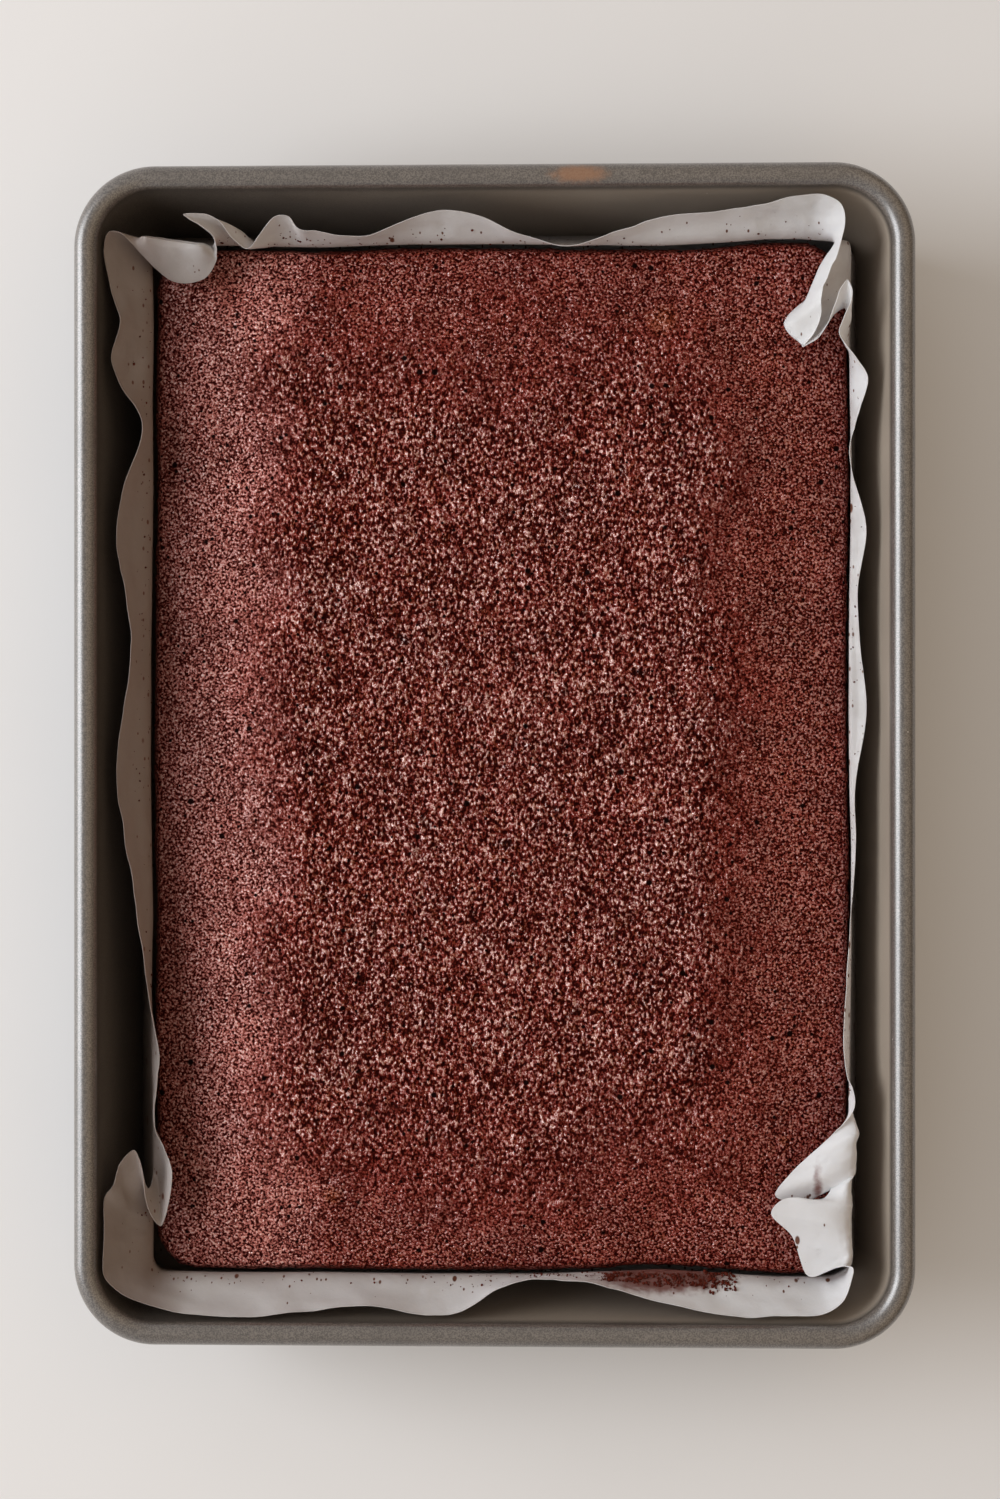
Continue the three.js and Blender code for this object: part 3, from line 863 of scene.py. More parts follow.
@dataclass(frozen=True)
class CrumbFinish(Finish):
    """Loose crumbs: the same cake, drier and darker."""

    name: str = "loose crumb"
    dark: Colour = (0.016, 0.002, 0.001)
    light: Colour = (0.150, 0.022, 0.010)
    size: float = 0.7
    uneven: float = 0.5
    height: float = 0.12
    roughness: float = 0.6
    sheen: float = 0.12

    def shading(self, sheet: NodeSheet) -> dict[str, object]:
        """Work out what the shader is fed.

        Args:
            sheet: The material's sheet.

        Returns:
            Outputs and plain values by the name of the shader's input.
        """
        group = self.effects[Effect.CRUMB]
        crumb = sheet.use(group, Vector=sheet.place(), Size=self.size, Uneven=self.uneven)
        rise = crumb.outputs["Height"]
        return {
            "Base Color": sheet.mix(rise, self.dark, self.light),
            "Normal": sheet.bump(sheet.multiply(rise, self.height)),
            "Roughness": self.roughness,
            "Specular IOR Level": self.sheen,
        }


@dataclass(frozen=True)
class PaperFinish(Finish):
    """White baking paper, stained brown and flecked with crumbs where it met the cake, with
    painted shade towards the left and low down near the cake.
    """

    name: str = "baking paper"
    clean: Colour = (0.65, 0.645, 0.648)
    brown_stain_and_painted_shade: Colour = (0.20, 0.145, 0.118)
    fleck: Colour = (0.110, 0.034, 0.014)
    smear: Colour = (0.125, 0.018, 0.007)
    fibre_size: float = 0.8
    fibre_height: float = 0.03
    cloud_size: float = 9.0
    cloud_height: float = 0.35
    detail: float = 3.0

    # Brown stain and painted shade by height in millimetres, and painted shade towards the left by
    # metres from the middle line
    ragged_height: float = 9.0
    low_stain_and_painted_shade_ramp: Ramp = (38.0, 47.0, 1.0, 0.0)
    low_stain_and_painted_shade_share: float = 0.5
    left_painted_shade_ramp: Ramp = (-0.106, -0.078, 0.85, 0.0)
    wide_painted_shade_ramp: Ramp = (-0.080, 0.060, 0.36, 0.0)

    # Flecks by height in millimetres
    fleck_ramp: Ramp = (40.0, 50.0, 0.62, 0.03)
    fleck_stretch: Point = (1.0, 0.5, 0.5)
    flecks: tuple[Spots, ...] = (Spots(1.3, 0.42, 1.0), Spots(3.1, 0.9, 0.6))
    roughness: float = 0.5
    light_depth: float = 0.5
    light_spread: Colour = (1.0, 0.95, 0.9)

    # The smear below the crumbled front edge and the streak on the front right flap
    smears: tuple[Patch, ...] = (
        Patch((50.0, -155.5, 38.0), (6.0, 1.3, 4.0), 3.2, 2.2, 0.9),
        Patch((96.0, -126.0, 42.0), (0.7, 3.0, 2.0), 1.8, 2.2, 0.9),
    )

    def shading(self, sheet: NodeSheet) -> dict[str, object]:
        """Work out what the shader is fed.

        Args:
            sheet: The material's sheet.

        Returns:
            Outputs and plain values by the name of the shader's input.
        """
        place = sheet.place()
        across, _, up = sheet.axes(place)
        fibre = self.grain(sheet, place, self.fibre_size, self.detail)
        cloud = self.grain(sheet, place, self.cloud_size, self.detail)
        level = sheet.math("DIVIDE", up, MM)
        level = sheet.math("ADD", level, sheet.multiply(cloud, self.ragged_height))
        # Painted shade: the paper darkens towards the left, where the pan's wall shades it
        left = sheet.remap(across, *self.left_painted_shade_ramp)
        at_left = sheet.math("MAXIMUM", left, sheet.remap(across, *self.wide_painted_shade_ramp))
        clean = sheet.mix(at_left, self.clean, self.brown_stain_and_painted_shade)
        # Partly brown stain, partly painted shade: the paper darkens low down, near the cake
        low = sheet.multiply(sheet.remap(level, *self.low_stain_and_painted_shade_ramp), self.low_stain_and_painted_shade_share)
        base = sheet.mix(low, clean, self.brown_stain_and_painted_shade)
        near_cake = sheet.remap(level, *self.fleck_ramp)
        squeezed = sheet.vector_math("MULTIPLY", place, self.fleck_stretch).outputs[0]
        for flecks in self.flecks:
            base = sheet.mix(self.spotted(sheet, squeezed, flecks, near_cake), base, self.fleck)
        for smear in self.smears:
            base = self.patched(sheet, place, smear, base, self.smear)
        fibres = sheet.multiply(fibre, self.fibre_height)
        height = sheet.math("ADD", fibres, sheet.multiply(cloud, self.cloud_height))
        return {
            "Base Color": base,
            "Normal": sheet.bump(height),
            "Roughness": self.roughness,
            "Subsurface Weight": 1.0,
            "Subsurface Radius": self.light_spread,
            "Subsurface Scale": self.light_depth * MM,
        }


@dataclass(frozen=True)
class PanFinish(Finish):
    """Dark grey-brown coated metal with a fine speckle, with painted light on the inside walls,
    strongest towards the right, and stained in places.
    """

    name: str = "coated pan metal"
    coat: Colour = (0.165, 0.142, 0.122)
    dark_coat: Colour = (0.048, 0.038, 0.031)
    # Painted light: the paler colour of the inside walls where they face the light
    painted_light: Colour = (0.480, 0.400, 0.320)
    rust_colour: Colour = (0.30, 0.12, 0.035)
    speck: Colour = (0.75, 0.72, 0.68)
    speckle_size: float = 0.42
    speckle_detail: float = 1.0
    speckle_ramp: Ramp = (0.36, 0.64)
    speckle_height: float = 0.06
    cloud_size: float = 16.0
    cloud_detail: float = 4.0
    cloud_ramp: Ramp = (0.4, 0.75, 0.0, 0.25)

    # How much painted light the inside walls get, by metres from the middle line: most on the
    # right walls, which face the light
    painted_light_ramp: Ramp = (-0.110, 0.112, 0.05, 0.95)

    # The rust stain on the back rim and the few pale specks
    rust: Patch = Patch((25.5, 170.7, 53.5), (4.0, 1.3, 1.3), 1.9, 1.8, 0.7)
    specks: Spots = Spots(4.5, 0.35, 0.06)
    metallic: float = 0.15
    roughness_ramp: Ramp = (0.3, 0.7, 0.38, 0.50)
    lacquer_roughness: float = 0.31
    lacquer_index: float = 1.9

    def shading(self, sheet: NodeSheet) -> dict[str, object]:
        """Work out what the shader is fed.

        Args:
            sheet: The material's sheet.

        Returns:
            Outputs and plain values by the name of the shader's input.
        """
        place = sheet.place()
        speckle = self.grain(sheet, place, self.speckle_size, self.speckle_detail)
        cloud = self.grain(sheet, place, self.cloud_size, self.cloud_detail)
        base = sheet.mix(sheet.remap(speckle, *self.speckle_ramp), self.dark_coat, self.coat)
        base = sheet.mix(sheet.remap(cloud, *self.cloud_ramp), base, self.dark_coat)
        # Painted light: the inside walls are painted paler, more towards the right, where they
        # face the light
        painted_light_share = sheet.remap(sheet.axes(place)[0], *self.painted_light_ramp)
        base = sheet.mix(sheet.multiply(painted_light_share, sheet.value("inside")), base, self.painted_light)
        base = self.patched(sheet, place, self.rust, base, self.rust_colour)
        base = sheet.mix(self.spotted(sheet, place, self.specks), base, self.speck)
        return {
            "Base Color": base,
            "Roughness": sheet.remap(cloud, *self.roughness_ramp),
            "Normal": sheet.bump(sheet.multiply(speckle, self.speckle_height)),
            "Metallic": self.metallic,
            "Coat Weight": 1.0,
            "Coat Roughness": self.lacquer_roughness,
            "Coat IOR": self.lacquer_index,
        }


@dataclass(frozen=True)
class FloorFinish(Finish):
    """The plain pale floor."""

    name: str = "pale floor"
    colour: Colour = (0.795, 0.790, 0.790)
    darker_share: float = 0.97
    cloud_size: float = 60.0
    cloud_detail: float = 3.0
    roughness: float = 0.55

    def shading(self, sheet: NodeSheet) -> dict[str, object]:
        """Work out what the shader is fed.

        Args:
            sheet: The material's sheet.

        Returns:
            Outputs and plain values by the name of the shader's input.
        """
        darker = tuple(self.darker_share * number for number in self.colour)
        cloud = self.grain(sheet, sheet.place(), self.cloud_size, self.cloud_detail)
        return {"Base Color": sheet.mix(cloud, self.colour, darker), "Roughness": self.roughness}


# Baking pan


@dataclass
class BakingPan:
    """The baking pan, a flared tray whose wall ends in a rolled rim."""

    width: float = 248.0
    length: float = 348.4
    height: float = 54.0
    corner_radius: float = 24.0
    sheet: float = 1.0
    wall_flare: float = 7.0
    floor_fillet: float = 6.0
    roll_radius: float = 3.5
    tuck_degrees: float = -135.0
    corner_steps: int = 24
    roll_steps: int = 42
    fillet_steps: int = 8
    wall_heights: tuple[float, ...] = (47.0, 40.0, 30.0, 20.0)

    def __post_init__(self) -> None:
        """Work out the sizes that follow from the given ones."""
        self.opening_half_width = self.width / 2 - 2 * self.roll_radius
        self.opening_half_length = self.length / 2 - 2 * self.roll_radius
        self.opening_height = self.height - self.roll_radius
        self.wall_slope = self.wall_flare / (self.opening_height - self.sheet)
        self.wall_angle = math.atan(self.wall_slope)
        self.fillet_inset = (
            self.wall_flare
            - self.wall_slope * self.floor_fillet
            + self.floor_fillet / math.cos(self.wall_angle)
        )
        self.base_half_width = self.opening_half_width - self.fillet_inset
        self.base_half_length = self.opening_half_length - self.fillet_inset
        self.base_radius = self.corner_radius - 2 * self.roll_radius - self.fillet_inset
        self.fillet_height = self.sheet + self.floor_fillet

    def wall_outset(self, height: float) -> float:
        """Tell how far the inside wall stands outside the base outline at a height."""
        return self.fillet_inset - self.wall_flare + self.wall_slope * (height - self.sheet)

    def ring(self, outset: float, height: float) -> np.ndarray:
        """Make one closed ring, parallel to the base outline, clockwise seen from above.

        Args:
            outset: How far outside the base outline it runs.
            height: Its height.

        Returns:
            Its points.
        """
        radius = self.base_radius + outset
        corner_x = self.base_half_width - self.base_radius
        corner_y = self.base_half_length - self.base_radius
        points = []
        for sign_x, sign_y, start in ((-1, 1, 180), (1, 1, 90), (1, -1, 0), (-1, -1, -90)):
            angles = np.radians(start - 90 * np.linspace(0, 1, self.corner_steps + 1))
            x = sign_x * corner_x + radius * np.cos(angles)
            y = sign_y * corner_y + radius * np.sin(angles)
            points.append(np.stack([x, y, np.full_like(x, height)], axis=1))
        return np.concatenate(points)

    def section(self) -> list[tuple[float, float]]:
        """Make the cut edge, from the underside up the outside, over the rim and down inside.

        Returns:
            Pairs of outset and height.
        """
        line: list[tuple[float, float]] = []

        def arc(radius: float, start: float, end: float, steps: int, x: float, z: float) -> None:
            """Add one round stretch.

            Args:
                radius: Its radius.
                start: Its first angle.
                end: Its last angle.
                steps: How many steps it takes.
                x: Its centre's outset.
                z: Its centre's height.
            """
            for angle in np.linspace(start, end, steps + 1):
                line.append((x + radius * math.cos(angle), z + radius * math.sin(angle)))

        under_rim = self.opening_height - self.roll_radius
        roll_x = self.fillet_inset + self.roll_radius
        tuck = math.radians(self.tuck_degrees)
        down = -math.pi / 2
        outer = self.floor_fillet + self.sheet
        arc(outer, down, -self.wall_angle, self.fillet_steps, 0.0, self.fillet_height)
        line.append((self.wall_outset(under_rim) + self.sheet, under_rim))
        arc(self.roll_radius, tuck, math.pi, self.roll_steps, roll_x, self.opening_height)
        for height in self.wall_heights:
            line.append((self.wall_outset(height), height))
        arc(self.floor_fillet, -self.wall_angle, down, self.fillet_steps, 0.0, self.fillet_height)
        return line

    def build(self, material: bpy.types.Material) -> list[bpy.types.Object]:
        """Make the pan.

        Args:
            material: Its material.

        Returns:
            Its pieces.
        """
        rings = [self.ring(outset, height) for outset, height in self.section()]
        count = len(rings[0])
        faces = [band(row * count, (row + 1) * count, count) for row in range(len(rings) - 1)]
        under = len(rings) * count
        faces.append(fan(0, count, under, False))
        faces.append(fan(under - count, count, under + 1, True))
        middles = np.array([[0.0, 0.0, 0.0], [0.0, 0.0, self.sheet]])
        piece = make_mesh("baking_pan", np.concatenate([*rings, middles]), faces, material)
        first_inside = len(rings) - len(self.wall_heights) - self.fillet_steps - 1
        inside = np.arange(under + len(middles)) >= first_inside * count
        add_values(piece, "inside", inside.astype(float))
        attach(piece, "root")
        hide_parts("pan")
        return [piece]


# Cake


@dataclass(frozen=True)
class Mark:
    """A hollow or a lump that stands out on the cake's top."""

    x: float
    y: float
    radius: float
    height: float

    def swelling(self, x: np.ndarray, y: np.ndarray) -> np.ndarray:
        """Give its height at each place."""
        distance = np.hypot(x - self.x, y - self.y) / self.radius
        return self.height * np.exp(-distance * distance)


@dataclass
class SheetCake:
    """The uncut chocolate cake, whose top slopes up from its edges to a coarse moist middle."""

    width: float = 207.7
    length: float = 306.7
    centre_x: float = 1.45
    centre_y: float = -1.3
    corner_radius: float = 13.0
    edge_height: float = 32.5
    edge_rounding: float = 1.4
    crown_height: float = 39.6
    slope_width: float = 44.0
    slope_bulge: float = 0.35
    corner_softness: float = 16.0
    end_slope_less: float = 4.0
    ridge_height: float = 0.6
    ridge_width: float = 7.0
    sink: float = 0.8
    sink_width: float = 22.0
    lump_height: float = 0.45
    lump_size: float = 13.0
    side_waver: float = 0.5
    side_waver_length: float = 26.0
    bottom: float = 2.2
    sharp_degrees: float = 80.0
    steps_across: int = 236
    steps_along: int = 348
    marks: tuple[Mark, ...] = (
        Mark(-77, 143, 7, -3.2),
        Mark(-62, 147, 6, -1.6),
        Mark(-49, -132, 3, 1.3),
        Mark(50, -152, 16, -1.2),
        Mark(11, 62, 15, -0.6),
        Mark(-20, -20, 22, -0.5),
        Mark(28, -62, 18, 0.5),
        Mark(92, 152, 9, 1.0),
    )
    side_marks: tuple[Mark, ...] = (
        Mark(46, -154, 24, -1.5),
        Mark(88, -154, 16, 0.7),
        Mark(88, 152, 16, 1.3),
    )

    # The side from its underside up, as pairs of outset and height
    side_section: tuple[tuple[float, float], ...] = (
        (-3.0, 2.2), (0.0, 3.6), (1.0, 9.2), (1.1, 18.0), (0.6, 27.5), (0.35, 29.6),
        (-0.15, 31.2), (-0.75, 32.2),
    )

    # The side's own crumb: depth, size, and how fast it changes with height
    side_crumb: tuple[Point, ...] = ((0.35, 3.0, 1.7), (0.25, 1.7, 2.3))
    side_crumb_step: float = 0.88
    smooth_above: float = 31.0

    # Where the top turns from the fine border to the coarse middle
    border_wave_sizes: tuple[float, float] = (17.0, 7.0)
    side_border: Ramp = (20.0, 50.0)
    side_border_waver: float = 8.0
    end_border: Ramp = (8.0, 62.0)
    end_border_waver: float = 12.0

    # The crumb's relief; each pair of heights is for the border and what the middle adds
    cobble_heights: tuple[float, float] = (0.12, 0.42)
    small_cobble_heights: tuple[float, float] = (0.07, 0.12)
    wave_heights: tuple[float, float] = (0.06, 0.34)
    warp: float = 1.5
    warp_size: float = 5.0
    cobble_size: float = 3.1
    cobble_stretch: float = 0.8
    small_cobble_size: float = 2.0
    cobble_level: float = 0.7
    wave_size: float = 5.6
    joint_level: float = 0.55
    joint_depth: float = 0.45
    relief_edge: Ramp = (-1.0, 4.0)
    noise_steps: Point = (90.0, 50.0, 40.0)

    # Where the crumb is dull with painted light, and where painted shade darkens it: distances
    # from the left side and below the edge
    left_strip: Ramp = (36.0, 54.0)
    left_strip_waver: float = 5.0
    left_strip_wave: float = 11.0
    # Dull crust everywhere outside the middle, with painted light added on the left strip
    dull_and_painted_light_shares: tuple[float, float] = (0.12, 0.88)
    # Painted shade near the left side: where it fades out, and how dark it gets
    painted_shade_edge: Ramp = (-4.0, 34.0)
    painted_shade_share: float = 0.62
    # Painted shade in the joints and down the side below the top edge
    joint_painted_shade: float = 0.55
    side_painted_shade_ramp: Ramp = (1.5, 9.5)
    side_painted_shade: float = 0.75
    lattice_mix: Point = (127.1, 311.7, 43758.5453)
    noise: Noise = field(default_factory=lambda: Noise(11))

    def lattice(self, column: np.ndarray, row: np.ndarray) -> np.ndarray:
        """Give repeatable numbers for corners of the grid of the broad lumps.

        Args:
            column: The corners' columns.
            row: The corners' rows.

        Returns:
            Numbers from -1 to 1.
        """
        by_column, by_row, spread = self.lattice_mix
        mixed = np.sin(column * by_column + row * by_row) * spread
        return 2.0 * (mixed - np.floor(mixed)) - 1.0

    def broad_lumps(self, x: np.ndarray, y: np.ndarray, size: float) -> np.ndarray:
        """Make the broad uneven relief that the solid has too.

        Args:
            x: Places across.
            y: Places along.
            size: About how wide a lump is.

        Returns:
            Heights from -1 to 1.
        """
        return between_corners(x, y, size, self.lattice)

    def margins(self, x: np.ndarray, y: np.ndarray) -> tuple[np.ndarray, np.ndarray]:
        """Tell how far a place is from the nearer side and from the nearer end.

        Args:
            x: Places across.
            y: Places along.

        Returns:
            Two distances in millimetres.
        """
        from_side = self.width / 2 - np.abs(x - self.centre_x)
        from_end = self.length / 2 - np.abs(y - self.centre_y)
        return from_side, from_end + self.end_slope_less * smoothstep(
            from_side, 0.0, self.slope_width
        )

    def inside(self, x: np.ndarray, y: np.ndarray) -> np.ndarray:
        """Give the less of the two margins, with the lines where the slopes meet rounded off.

        Args:
            x: Places across.
            y: Places along.

        Returns:
            Distances in millimetres.
        """
        from_side, from_end = self.margins(x, y)
        apart = np.abs(from_side - from_end)
        blend = np.clip(np.minimum(from_side, from_end) / self.slope_width, 0.0, 1.0)
        softness = self.corner_softness * blend
        least = np.minimum(from_side, from_end)
        return least - 0.5 * (np.sqrt(apart**2 + softness**2) - apart)

    def smooth_top(self, x: np.ndarray, y: np.ndarray) -> np.ndarray:
        """Give the top's height without its crumb, as the solid has it.

        Args:
            x: Places across.
            y: Places along.

        Returns:
            Heights in millimetres.
        """
        inside = self.inside(x, y)
        share = np.clip(inside / self.slope_width, 0.0, 1.0)
        rise = share * (1.0 + self.slope_bulge * (1.0 - share))
        height = self.edge_height + (self.crown_height - self.edge_height) * rise
        from_side, from_end = self.margins(x, y)
        beside_long = smoothstep(from_end - from_side, 0.0, self.slope_width)
        ridge = beside_long * np.exp(-(((inside - self.slope_width) / self.ridge_width) ** 2))
        sunken = smoothstep(inside, self.slope_width, self.slope_width + self.sink_width)
        height = height + self.ridge_height * ridge - self.sink * sunken
        lumps = self.broad_lumps(x, y, self.lump_size) * smoothstep(inside, 0.0, self.lump_size)
        height = height + self.lump_height * lumps
        for mark in self.marks:
            height = height + mark.swelling(x, y)
        return height

    def middle_share(self, x: np.ndarray, y: np.ndarray) -> np.ndarray:
        """Tell how far places belong to the coarse moist middle of the top.

        Args:
            x: Places across.
            y: Places along.

        Returns:
            Shares from 0 to 1, with an uneven border.
        """
        from_side, from_end = self.margins(x, y)
        large, small = (self.noise.waves(x, y, size) for size in self.border_wave_sizes)
        uneven = large + 0.5 * small
        across = smoothstep(from_side + self.side_border_waver * uneven, *self.side_border)
        return across * smoothstep(from_end + self.end_border_waver * uneven, *self.end_border)

    def crumb(self, x: np.ndarray, y: np.ndarray) -> tuple[np.ndarray, np.ndarray]:
        """Make the top's larger crumb relief, which is coarser in the middle.

        Args:
            x: Places across.
            y: Places along.

        Returns:
            Heights in millimetres, and how deep each place lies in a joint, from 0 to 1.
        """
        middle = self.middle_share(x, y)
        large, small, soft = (
            edge + more * middle
            for edge, more in (self.cobble_heights, self.small_cobble_heights, self.wave_heights)
        )
        far, aside, along = self.noise_steps
        warp_x = x + self.warp * self.noise.waves(x + far, y, self.warp_size)
        warp_y = y + self.warp * self.noise.waves(x, y + far, self.warp_size)
        cobbles = self.noise.cobbles(warp_x, warp_y * self.cobble_stretch, self.cobble_size)
        pebbles = self.noise.cobbles(warp_x + aside, warp_y, self.small_cobble_size)
        relief = large * (cobbles - self.cobble_level) + small * (pebbles - self.cobble_level)
        relief = relief + soft * self.noise.waves(x, y + along, self.wave_size)
        relief = relief * smoothstep(self.inside(x, y), *self.relief_edge)
        return relief, smoothstep(self.joint_level - cobbles, 0.0, self.joint_depth) * middle

    def waver(self, x: np.ndarray, y: np.ndarray) -> np.ndarray:
        """Tell how far the side swells out of its straight outline at a place.

        Args:
            x: Places across.
            y: Places along.

        Returns:
            Distances in millimetres.
        """
        swells = self.side_waver * self.broad_lumps(x + self.width, y, self.side_waver_length)
        for mark in self.side_marks:
            swells = swells + mark.swelling(x, y)
        return swells

    def place(self, share_x: np.ndarray, share_y: np.ndarray, outset: np.ndarray) -> np.ndarray:
        """Give a place on the cake, whose square corners are rounded off.

        Args:
            share_x: Shares of the width, from -1 to 1.
            share_y: Shares of the length, from -1 to 1.
            outset: How far outside the straight outline the border runs.

        Returns:
            Rows of X and Y.
        """
        radius = self.corner_radius + outset
        halves = (self.width / 2 + outset, self.length / 2 + outset)
        flat = [np.abs(share) * half for share, half in zip((share_x, share_y), halves)]
        corner = [np.maximum(0.0, (v - h + radius) / radius) for v, h in zip(flat, halves)]
        other = corner[::-1]
        shrunk = [c - c * np.sqrt(1.0 - o**2 / 2.0) for c, o in zip(corner, other)]
        centres = (self.centre_x, self.centre_y)
        signs = (np.sign(share_x), np.sign(share_y))
        columns = [
            centre + sign * (value - radius * less)
            for centre, sign, value, less in zip(centres, signs, flat, shrunk)
        ]
        return np.stack(columns, axis=-1)

    def outline(self) -> tuple[np.ndarray, np.ndarray]:
        """Give the grid's border, clockwise from the front left corner.

        Returns:
            Column numbers and row numbers.
        """
        across, along = self.steps_across, self.steps_along
        columns = np.concatenate(
            [
                np.zeros(along),
                np.arange(across),
                np.full(along, across),
                across - np.arange(across),
            ]
        )
        rows = np.concatenate(
            [np.arange(along), np.full(across, along), along - np.arange(along), np.zeros(across)]
        )
        return columns.astype(int), rows.astype(int)

    def side_rings(self, border_x: np.ndarray, border_y: np.ndarray) -> list[np.ndarray]:
        """Make the rings of the side, with its own crumb.

        Args:
            border_x: Shares of the width along the border, from -1 to 1.
            border_y: Shares of the length along the border, from -1 to 1.

        Returns:
            The points of each ring, from the underside up.
        """
        count = len(border_x)
        steps = np.arange(count) * self.side_crumb_step
        rings = []
        for outset, height in self.side_section:
            straight = self.place(border_x, border_y, outset)
            waver = self.waver(straight[:, 0], straight[:, 1]) * (height > self.bottom)
            rough = np.zeros(count)
            for depth, size, change in self.side_crumb:
                level = np.full(count, height * change)
                rough = rough + depth * self.noise.waves(steps, level, size)
            rough = rough * (self.bottom < height < self.smooth_above)
            flat = self.place(border_x, border_y, outset + waver + rough)
            rings.append(np.column_stack([flat, np.full(count, height)]))
        return rings

    def build(self, material: bpy.types.Material) -> list[bpy.types.Object]:
        """Make the cake.

        Args:
            material: Its material.

        Returns:
            Its pieces.
        """
        across, along = self.steps_across, self.steps_along
        border_columns, border_rows = self.outline()
        border_x = 2.0 * border_columns / across - 1.0
        border_y = 2.0 * border_rows / along - 1.0
        count = len(border_x)
        parts = self.side_rings(border_x, border_y)
        sides = len(parts)
        rows, columns = np.meshgrid(np.arange(along + 1), np.arange(across + 1), indexing="ij")
        share_x = 2.0 * columns.ravel() / across - 1.0
        share_y = 2.0 * rows.ravel() / along - 1.0
        straight = self.place(share_x, share_y, -self.edge_rounding)
        waver = self.waver(straight[:, 0], straight[:, 1])
        flat = self.place(share_x, share_y, waver - self.edge_rounding)
        relief, joint = self.crumb(flat[:, 0], flat[:, 1])
        smooth = self.smooth_top(straight[:, 0], straight[:, 1])
        parts.append(np.column_stack([flat, smooth + relief]))
        parts.append(np.array([[self.centre_x, self.centre_y, self.bottom]]))
        points = np.concatenate(parts)

        top = sides * count
        faces = [band(row * count, (row + 1) * count, count) for row in range(sides - 1)]
        border = top + border_rows * (across + 1) + border_columns
        shoulder = (sides - 1) * count + np.arange(count)
        faces.append(
            np.stack([shoulder, border, np.roll(border, -1), np.roll(shoulder, -1)], axis=1)
        )
        cell_rows, cell_columns = np.meshgrid(np.arange(along), np.arange(across), indexing="ij")
        near = top + (cell_rows * (across + 1) + cell_columns).ravel()
        far = near + across + 1
        faces.append(np.stack([near, near + 1, far + 1, far], axis=1))
        faces.append(fan(0, count, len(points) - 1, False))

        piece = make_mesh("chocolate_cake", points, faces, material, self.sharp_degrees)
        self.add_zones(piece, points, joint, relief, top)
        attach(piece, "root")
        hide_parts("cake")
        return [piece]

    def add_zones(
        self,
        piece: bpy.types.Object,
        points: np.ndarray,
        joint: np.ndarray,
        relief: np.ndarray,
        top: int,
    ) -> None:
        """Store where the crumb is coarse, where it is dull with painted light, and where painted
        shade darkens its joints, side and left edge.

        Args:
            piece: The cake.
            points: Its vertices.
            joint: How deep each vertex of the top lies in a joint.
            relief: How high each vertex of the top stands out, in millimetres.
            top: Number of the top's first vertex.
        """
        x, y, z = points.T
        middle = self.middle_share(x, y)
        from_left = x - self.centre_x + self.width / 2
        ragged = from_left + self.left_strip_waver * self.noise.waves(x, y, self.left_strip_wave)
        left = 1.0 - smoothstep(ragged, *self.left_strip)
        everywhere, at_left = self.dull_and_painted_light_shares
        painted_pit_shade, raised = np.zeros(len(points)), np.zeros(len(points))
        painted_pit_shade[top : top + len(joint)] = self.joint_painted_shade * joint
        raised[top : top + len(relief)] = relief
        # Painted shade down the side, below the top edge
        low = smoothstep(self.edge_height - z, *self.side_painted_shade_ramp)
        zones = {
            "middle": middle,
            "dull_and_painted_light": (everywhere + at_left * left) * (1.0 - middle),
            "painted_pit_shade": np.maximum(painted_pit_shade, self.side_painted_shade * low),
            "shade": self.painted_shade_share * (1.0 - smoothstep(from_left, *self.painted_shade_edge)),
            "relief": raised,
        }
        for name, values in zones.items():
            add_values(piece, name, values)


# Baking paper


@dataclass(frozen=True)
class Station:
    """One place on the paper's free edge, with the crease above it where the paper folds over."""

    edge: Point
    share: float
    ridge: Point | None = None


def standing(*edges: Point) -> list[tuple[Point, Point | None]]:
    """Give the places of paper that stands up.

    Args:
        edges: Distance from the side wall, distance from the end wall, and height of each.

    Returns:
        Pairs of a place and no crease.
    """
    return [(edge, None) for edge in edges]


def lip(start: Point, end: Point, *edges: Point) -> list[tuple[Point, Point | None]]:
    """Give the places of paper that stands up to a straight crease and droops from it.

    Args:
        start: Where the crease starts.
        end: Where it ends.
        edges: The free edge's places along it.

    Returns:
        Pairs of a place and its point on the crease.
    """
    low, high = np.array(start), np.array(end)
    shares = np.linspace(0.0, 1.0, len(edges))
    return [(edge, tuple(low + (high - low) * share)) for edge, share in zip(edges, shares)]


